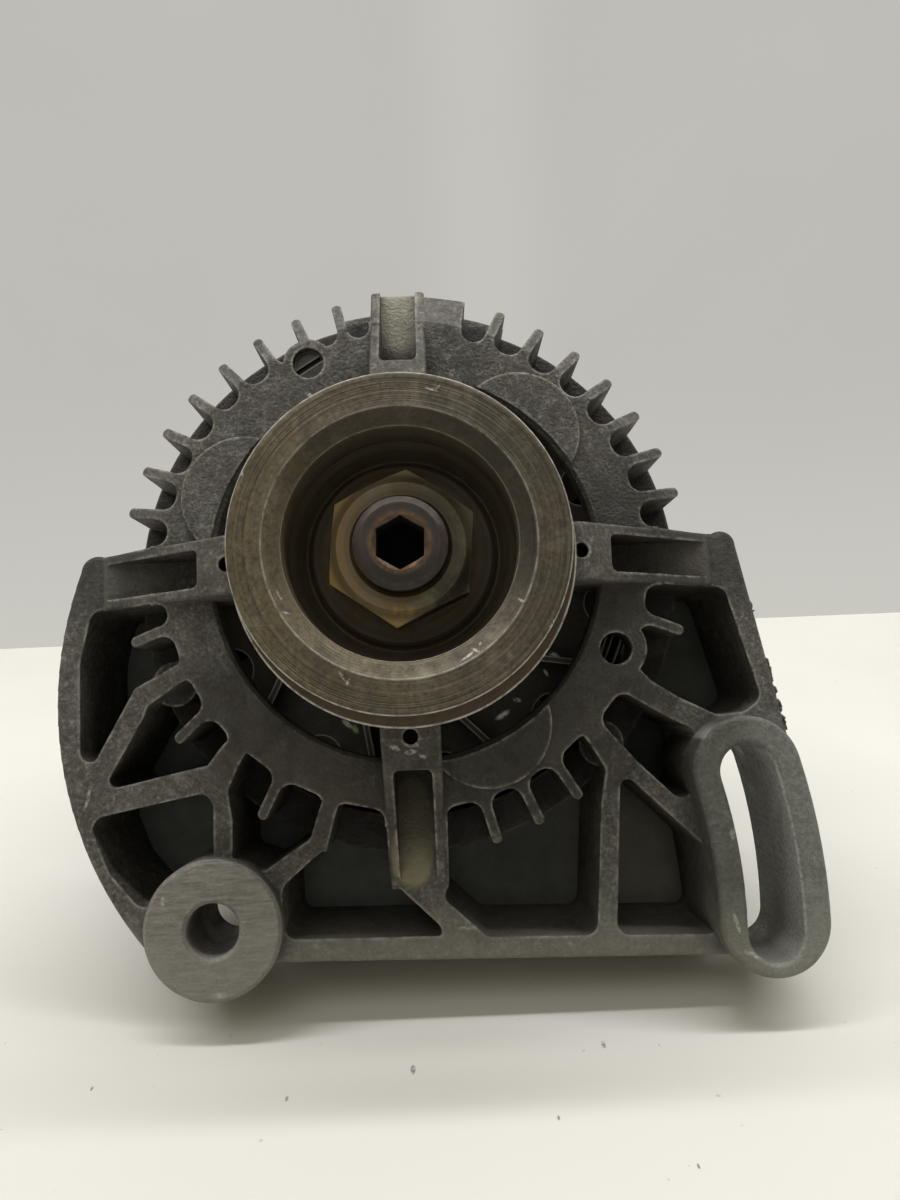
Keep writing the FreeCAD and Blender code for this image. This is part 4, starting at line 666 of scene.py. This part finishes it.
# Painted glints: the fan's edges brightened strongly, and FAN_GLINTS paints glinting spots
fan_skin = sooty_iron("dusty_fan_sheet", "4e4b44", "302d28", "41342a", "a8a59c", 0.8, FAN_GLINTS)
crust_skin = sooty_iron("dried_road_dirt", "3a352d", "201d19", "4a3c2c")
spring_skin = turned_steel("spring_wire_steel", "76746e", "55534d", "a5a29a", 0.9)

finishes = {
    "drive_end_bracket": bracket_skin, "slip_ring_end_bracket": rear_bracket_skin,
    "pulley": pulley_skin, "pulley_nut": nut_skin, "rotor_shaft": shaft_skin,
    "pulley_spacer": spacer_skin, "rotor_spacer": spacer_skin, "bearing_retainer_plate": zinc_skin,
    "retainer_screws": zinc_skin, "set_screw": screw_skin, "through_bolts": zinc_skin,
    "front_bearing_inner_ring": race_skin, "front_bearing_outer_ring": race_skin,
    "front_bearing_balls": ball_skin, "front_bearing_cage": cage_skin, "front_bearing_seals": seal_skin,
    "rear_bearing_inner_ring": race_skin, "rear_bearing_outer_ring": race_skin,
    "rear_bearing_balls": ball_skin, "rear_bearing_cage": cage_skin, "rear_bearing_seals": seal_skin,
    "front_fan": fan_skin, "rear_fan": fan_skin, "front_claw_pole": pole_skin, "rear_claw_pole": pole_skin,
    "field_bobbin": bobbin_skin, "field_winding": field_skin, "slip_rings": slip_ring_skin,
    "slip_ring_insulator": holder_skin, "stator_core": stack_skin, "stator_winding": coil_skin,
    "negative_heat_sink": sink_skin, "positive_heat_sink": sink_skin, "rectifier_spacers": bobbin_skin,
    "rectifier_screws": zinc_skin, "negative_diodes": can_skin, "positive_diodes": can_skin,
    "phase_leads": lead_skin, "output_stud": stud_skin, "output_stud_insulator": holder_skin,
    "output_stud_nut": brass_skin, "front_brush": carbon_skin, "rear_brush": carbon_skin,
    "front_brush_spring": spring_skin, "rear_brush_spring": spring_skin, "brush_holder": holder_skin,
    "regulator": case_skin, "regulator_screws": zinc_skin, "lamp_terminal": brass_skin,
    "rear_cover": cover_skin, "cover_studs": zinc_skin, "cover_nuts": zinc_skin,
}

for name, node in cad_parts.items():
    for place in node.material_slots:
        place.link = "OBJECT"
        place.material = finishes[name]


def keep(name, mesh, material, body="frame"):
    """Makes a finished bmesh a piece that rides on a body, or on none yet."""
    data = bpy.data.meshes.new(name)
    mesh.to_mesh(data)
    mesh.free()
    piece = bpy.data.objects.new(name, data)
    bpy.context.scene.collection.objects.link(piece)
    piece.data.materials.append(material)
    if body:
        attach(piece, body)
    return piece


def coiled(section, centre, axis, turns, steps, climb):
    """A closed section wound about an axis through a centre, which climbs a little at each step."""
    coil = bmesh.new()
    rings = []
    for i in range(steps + 1):
        turn = Matrix.Rotation(2 * math.pi * turns * i / steps, 3, axis)
        rings.append([coil.verts.new(centre + turn @ (point - centre) + axis * (climb * i))
                      for point in section])
    for near, far in zip(rings, rings[1:]):
        for i in range(len(section)):
            coil.faces.new((near[i - 1], near[i], far[i], far[i - 1]))
    coil.faces.new(rings[0])
    coil.faces.new(rings[-1])
    bmesh.ops.recalc_face_normals(coil, faces=coil.faces)
    return coil


# Stator coils: wires that leave a slot, cross over and go back three slots on

SLOTS = 36
COIL_IN_R, COIL_OUT_R = 43.4 * MM, 49.2 * MM
CORE_FRONT_Y, CORE_REAR_Y = 51.2 * MM, 81.2 * MM
COIL_RISE = 6.0 * MM
COIL_SPAN = 3
WIRE_R = 0.72 * MM
LAYERS = 4
LAYER_STEP = (COIL_OUT_R - COIL_IN_R - 2 * WIRE_R) / (LAYERS - 1)
# How a wire arches from slot to slot: share of the way across and share of the rise
WIRE_ARCH = ((0, -1.2), (0.02, 0.35), (0.16, 0.92), (0.5, 1.02), (0.84, 0.92), (0.98, 0.35), (1, -1.2))


def polar(r, degrees, y):
    """A point at a radius and an angle about the shaft."""
    a = math.radians(degrees)
    return Vector((r * math.cos(a), y, r * math.sin(a)))


def stator_coils():
    """The coil ends at both faces of the core, and the bars in its slots, one round wire each."""
    wires = bpy.data.curves.new("stator_coils", "CURVE")
    wires.dimensions = "3D"
    wires.bevel_depth = WIRE_R
    wires.bevel_resolution = 2
    wires.use_fill_caps = True
    wires.resolution_u = 3
    step = 360 / SLOTS
    for face_y, outward in ((CORE_FRONT_Y, -1), (CORE_REAR_Y, 1)):
        for i in range(SLOTS):
            start = (i + 0.5) * step
            for layer in range(LAYERS):
                r0 = COIL_IN_R + WIRE_R + layer * LAYER_STEP
                drift = 0.35 * MM * math.sin(2.1 * i + 1.7 * layer)
                sag = 0.5 * (layer % 2) + 0.4 * math.sin(1.3 * i + layer) ** 2
                rise = COIL_RISE - WIRE_R - sag * MM
                line = wires.splines.new("NURBS")
                line.points.add(len(WIRE_ARCH) - 1)
                for point, (t, h) in zip(line.points, WIRE_ARCH):
                    r = r0 + drift * math.sin(math.pi * t)
                    r = min(max(r, COIL_IN_R + WIRE_R), COIL_OUT_R - WIRE_R)
                    spot = polar(r, start + COIL_SPAN * step * t, face_y + outward * h * rise)
                    point.co = (*spot, 1)
                line.order_u = 4
                line.use_endpoint_u = True
    for i in range(SLOTS):
        for layer in range(LAYERS):
            r = COIL_IN_R + WIRE_R + layer * LAYER_STEP
            bar = wires.splines.new("POLY")
            bar.points.add(1)
            for point, y in zip(bar.points, (CORE_FRONT_Y - WIRE_R, CORE_REAR_Y + WIRE_R)):
                point.co = (*polar(r, (i + 0.5) * step, y), 1)
    coils = bpy.data.objects.new("stator_coils", wires)
    bpy.context.scene.collection.objects.link(coils)
    coils.data.materials.append(coil_skin)
    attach(coils, "frame")
    return coils


coils = stator_coils()
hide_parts("stator_winding")


# Brush springs

SPRING_TURNS, SPRING_WIRE_R = 7, 0.3 * MM
STEPS_A_TURN, WIRE_SIDES = 20, 8


def brush_spring(which):
    """A coil spring from the top of a brush to the roof of its channel."""
    low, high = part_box(which + "_brush_spring")
    centre = (low + high) / 2
    coil_r = (high.x - low.x) / 2 - SPRING_WIRE_R
    section = []
    for i in range(WIRE_SIDES):
        a = 2 * math.pi * i / WIRE_SIDES
        section.append(Vector((centre.x + coil_r + SPRING_WIRE_R * math.cos(a), centre.y,
                               low.z + SPRING_WIRE_R * (1 + math.sin(a)))))
    steps = STEPS_A_TURN * SPRING_TURNS
    rise = high.z - low.z - 2 * SPRING_WIRE_R
    coil = coiled(section, centre, Vector((0, 0, 1)), SPRING_TURNS, steps, rise / steps)
    piece = keep(which + "_spring_coil", coil, spring_skin, body=None)
    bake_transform(piece)
    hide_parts(which + "_brush_spring")


brush_spring("front")
brush_spring("rear")


# Road dirt caked on the outside of the right wall, in millimetres

WALL_TOP, WALL_LOW = Vector((69.6, 0, -7.0)), Vector((76.9, 0, -44.5))
WALL_OUT = Vector((0.981, 0, 0.192))
WALL_FRONT_Y, DIRT_DEPTH = 36.2, 20
# Where the chips sit down the wall, 0 at its top and 1 at its foot, how far they spread, and how many
CHIP_HEAPS = ((0.06, 0.04, 8), (0.42, 0.06, 26), (0.60, 0.05, 30), (0.70, 0.03, 16), (0.96, 0.03, 14))


def dirt_flakes():
    """Small ragged chips of dried dirt, in heaps down the outside of the wall."""
    dice = random.Random(4)
    crust = bmesh.new()
    for heap, spread, count in CHIP_HEAPS:
        for _ in range(count):
            spot = WALL_TOP.lerp(WALL_LOW, min(max(dice.gauss(heap, spread), 0.0), 1.0))
            size = dice.uniform(0.3, 1.1)
            depth = WALL_FRONT_Y + DIRT_DEPTH * dice.random() ** 2
            place = (spot + Vector((0, depth, 0)) + WALL_OUT * 0.1) * MM
            chip = bmesh.ops.create_icosphere(crust, subdivisions=1, radius=size * MM)["verts"]
            for vert in chip:
                vert.co *= dice.uniform(0.65, 1.2)
            tilt = Matrix.Rotation(dice.uniform(-0.5, 0.5), 4, "Y")
            roll = Matrix.Rotation(dice.uniform(0, 3.1), 4, "X")
            flat = Matrix.Diagonal((0.5, 0.7, 1.1, 1.0))
            bmesh.ops.transform(crust, matrix=Matrix.Translation(place) @ tilt @ roll @ flat, verts=chip)
    bmesh.ops.recalc_face_normals(crust, faces=crust.faces)
    keep("road_dirt", crust, crust_skin)


dirt_flakes()


# Threads on the terminal studs

def thread(name, x, z, r, y0, y1, pitch, material):
    """A rolled thread: one ridge that climbs along a stud from y0 to y1, in millimetres."""
    steps_a_turn = 24
    turns = (y1 - y0) / pitch - 1
    root, crest = r - 0.10, r + 0.14
    corners = ((root, 0.0), (crest, 0.42 * pitch), (crest, 0.52 * pitch), (root, 0.94 * pitch))
    section = [Vector((x + a, y0 + b, z)) * MM for a, b in corners]
    ridge = coiled(section, Vector((x, y0, z)) * MM, Vector((0, 1, 0)), turns,
                   int(steps_a_turn * turns), pitch * MM / steps_a_turn)
    keep(name, ridge, material)


thread("output_stud_thread", OUTPUT_X, OUTPUT_Z, 3.0, 149.2, 157.6, 1.0, stud_skin)
thread("lamp_terminal_thread", LAMP_X, LAMP_Z, 2.0, 142.0, 149.6, 0.7, brass_skin)


# Table, wall, light and camera. The machine rests on its two lugs and on the lower edge of its
# rear cover, so it leans back.

FLOOR_LEAN = math.radians(20.7)
FLOOR_Y, FLOOR_Z = 57.0 * MM, -81.9 * MM
TABLE_END, WALL_DISTANCE = 250 * MM, 680 * MM
up_axis = Vector((0, -math.sin(FLOOR_LEAN), math.cos(FLOOR_LEAN)))
back_axis = Vector((0, math.cos(FLOOR_LEAN), math.sin(FLOOR_LEAN)))
foot = Vector((0, FLOOR_Y, FLOOR_Z))
SHEET_HALF_WIDTH, SHEET_HALF_DEPTH = 1.6, 1.2
# Specks of grit on the table: X, Y, Z and radius, millimetres
TABLE_SPECKS = ((-2.1, 26.7, -93.4, 0.6), (33.7, 30.3, -92.0, 0.5), (-60.4, 25.7, -93.7, 0.3),
                (-24.4, 21.5, -95.3, 0.35), (43.7, 4.8, -101.6, 0.3), (22.9, 15.0, -97.8, 0.3))


def table_paint():
    """White laminate table: near white, with painted shade dimming it towards the front, and a few specks
    of dirt.
    """
    material, tree, shader = surface("white_laminate_table", Roughness=0.5)
    spot = here(tree)
    wash = speckle(tree, 120, spot, 0.3, 0.7, 3)
    colour = blend(tree, wash, "d5d3cd", "dcdbd5")
    # Painted shade: the table dimmed towards the front
    front = between(tree, lean(tree, 0, 0.94, 0.35), 60.0, -30.0)
    colour = blend(tree, times(tree, front, 0.35), colour, "c3c1ba")
    dust = speckle(tree, 1.8, spot, 0.74, 0.765, 2, 0.5, 7.0)
    colour = blend(tree, times(tree, dust, 0.35), colour, "7b776f")
    for x, y, z, r in TABLE_SPECKS:
        speck = times(tree, mark(tree, (x, y, z), (r, 4 * r, r)), speckle(tree, 0.5, spot, 0.3, 0.5, 2))
        colour = blend(tree, times(tree, speck, 0.75), colour, "54504a")
    tree.links.new(colour, shader.inputs["Base Color"])
    return material


def wall_paint():
    """Pale grey painted wall with painted light growing towards its foot and a soft streak of painted
    reflection, seen by the camera at its own tone.
    """
    material, tree, shader = surface("pale_wall_paint", Roughness=0.8)
    spot = here(tree)
    split = add(tree, "ShaderNodeSeparateXYZ", {0: spot})
    wash = speckle(tree, 300, spot, 0.3, 0.7, 3)
    # Painted light: the wall lighter towards its foot
    low_down = between(tree, split.outputs[2], 0.30, 0.0)
    colour = blend(tree, low_down, "bdbbb6", "cacac3")
    colour = blend(tree, times(tree, wash, 0.35), colour, "c6c3bc")
    # Painted reflection: a soft lighter streak
    streak = times(tree, between(tree, split.outputs[0], -0.02, 0.05),
                   between(tree, split.outputs[0], 0.14, 0.07))
    colour = blend(tree, times(tree, streak, 0.22), colour, "d4d3ce")
    tree.links.new(colour, shader.inputs["Base Color"])
    glow = add(tree, "ShaderNodeEmission", {"Color": colour})
    both = add(tree, "ShaderNodeMixShader", {0: seen_directly(tree), 1: shader.outputs[0],
                                             2: glow.outputs[0]})
    tree.links.new(both.outputs[0], tree.nodes["Material Output"].inputs["Surface"])
    return material


def flat_stage(name, middle, across, away, material):
    """A flat sheet of the stage about its middle, along two directions."""
    sheet = bmesh.new()
    bmesh.ops.create_grid(sheet, x_segments=1, y_segments=1, size=1.0)
    normal = across.cross(away)
    turn = Matrix((across * SHEET_HALF_WIDTH, away * SHEET_HALF_DEPTH, normal)).transposed()
    bmesh.ops.transform(sheet, matrix=Matrix.Translation(middle) @ turn.to_4x4(), verts=sheet.verts)
    piece = keep(name, sheet, material, body=None)


right_axis = Vector((1, 0, 0))
flat_stage("table_top", foot + back_axis * (TABLE_END - SHEET_HALF_DEPTH), right_axis, back_axis,
           table_paint())
flat_stage("wall", foot + back_axis * WALL_DISTANCE + up_axis * 0.6, right_axis, up_axis, wall_paint())


def soft_lamp(name, place, aim, size, power, tone):
    """A rectangular lamp turned towards a point."""
    data = bpy.data.lights.new(name, "AREA")
    data.shape = "RECTANGLE"
    data.size, data.size_y = size
    data.energy = power
    data.color = linear(tone)[:3]
    lamp = bpy.data.objects.new(name, data)
    lamp.location = place
    lamp.rotation_mode = "QUATERNION"
    lamp.rotation_quaternion = (aim - place).to_track_quat("-Z", "Y")
    bpy.context.scene.collection.objects.link(lamp)


middle = Vector((0, 0.05, -0.02))
soft_lamp("ceiling_lamp", middle + up_axis + back_axis * 0.06, middle, (2.4, 0.07), 18.4, "fcfdff")
soft_lamp("front_fill", Vector((-0.30, -0.75, 0.60)), middle, (0.8, 0.5), 1.4, "f8faff")

# The room, a little warmer in its light than in what the camera sees of it
world = bpy.data.worlds.new("pale_room")
bpy.context.scene.world = world
world.use_nodes = True
room = world.node_tree
background = room.nodes["Background"]
tone = blend(room, seen_directly(room), "c3bda9", "c4c4be")
room.links.new(tone, background.inputs["Color"])
background.inputs["Strength"].default_value = 0.76

# The photo's camera, solved from the circles of the pulley, the ring and the lugs
CAMERA_PLACE = Vector((5.75, -146.85, -25.92)) * MM
CAMERA_RIGHT = Vector((0.99908, -0.00994, -0.04144))
CAMERA_DOWN = Vector((-0.04012, 0.10825, -0.99331))
CAMERA_FORWARD = Vector((0.01436, 0.99407, 0.10775))
view = bpy.data.cameras.new("photo_camera")
view.sensor_fit = "AUTO"
view.sensor_width = 36.0
view.lens = 27.0
view.clip_start = 0.005
view.clip_end = 10.0
camera = bpy.data.objects.new("photo_camera", view)
bpy.context.scene.collection.objects.link(camera)
turn = Matrix((CAMERA_RIGHT, -CAMERA_DOWN, -CAMERA_FORWARD)).transposed().to_4x4()
camera.matrix_world = Matrix.Translation(CAMERA_PLACE) @ turn
bpy.context.scene.camera = camera
bpy.context.scene.view_settings.view_transform = "Standard"
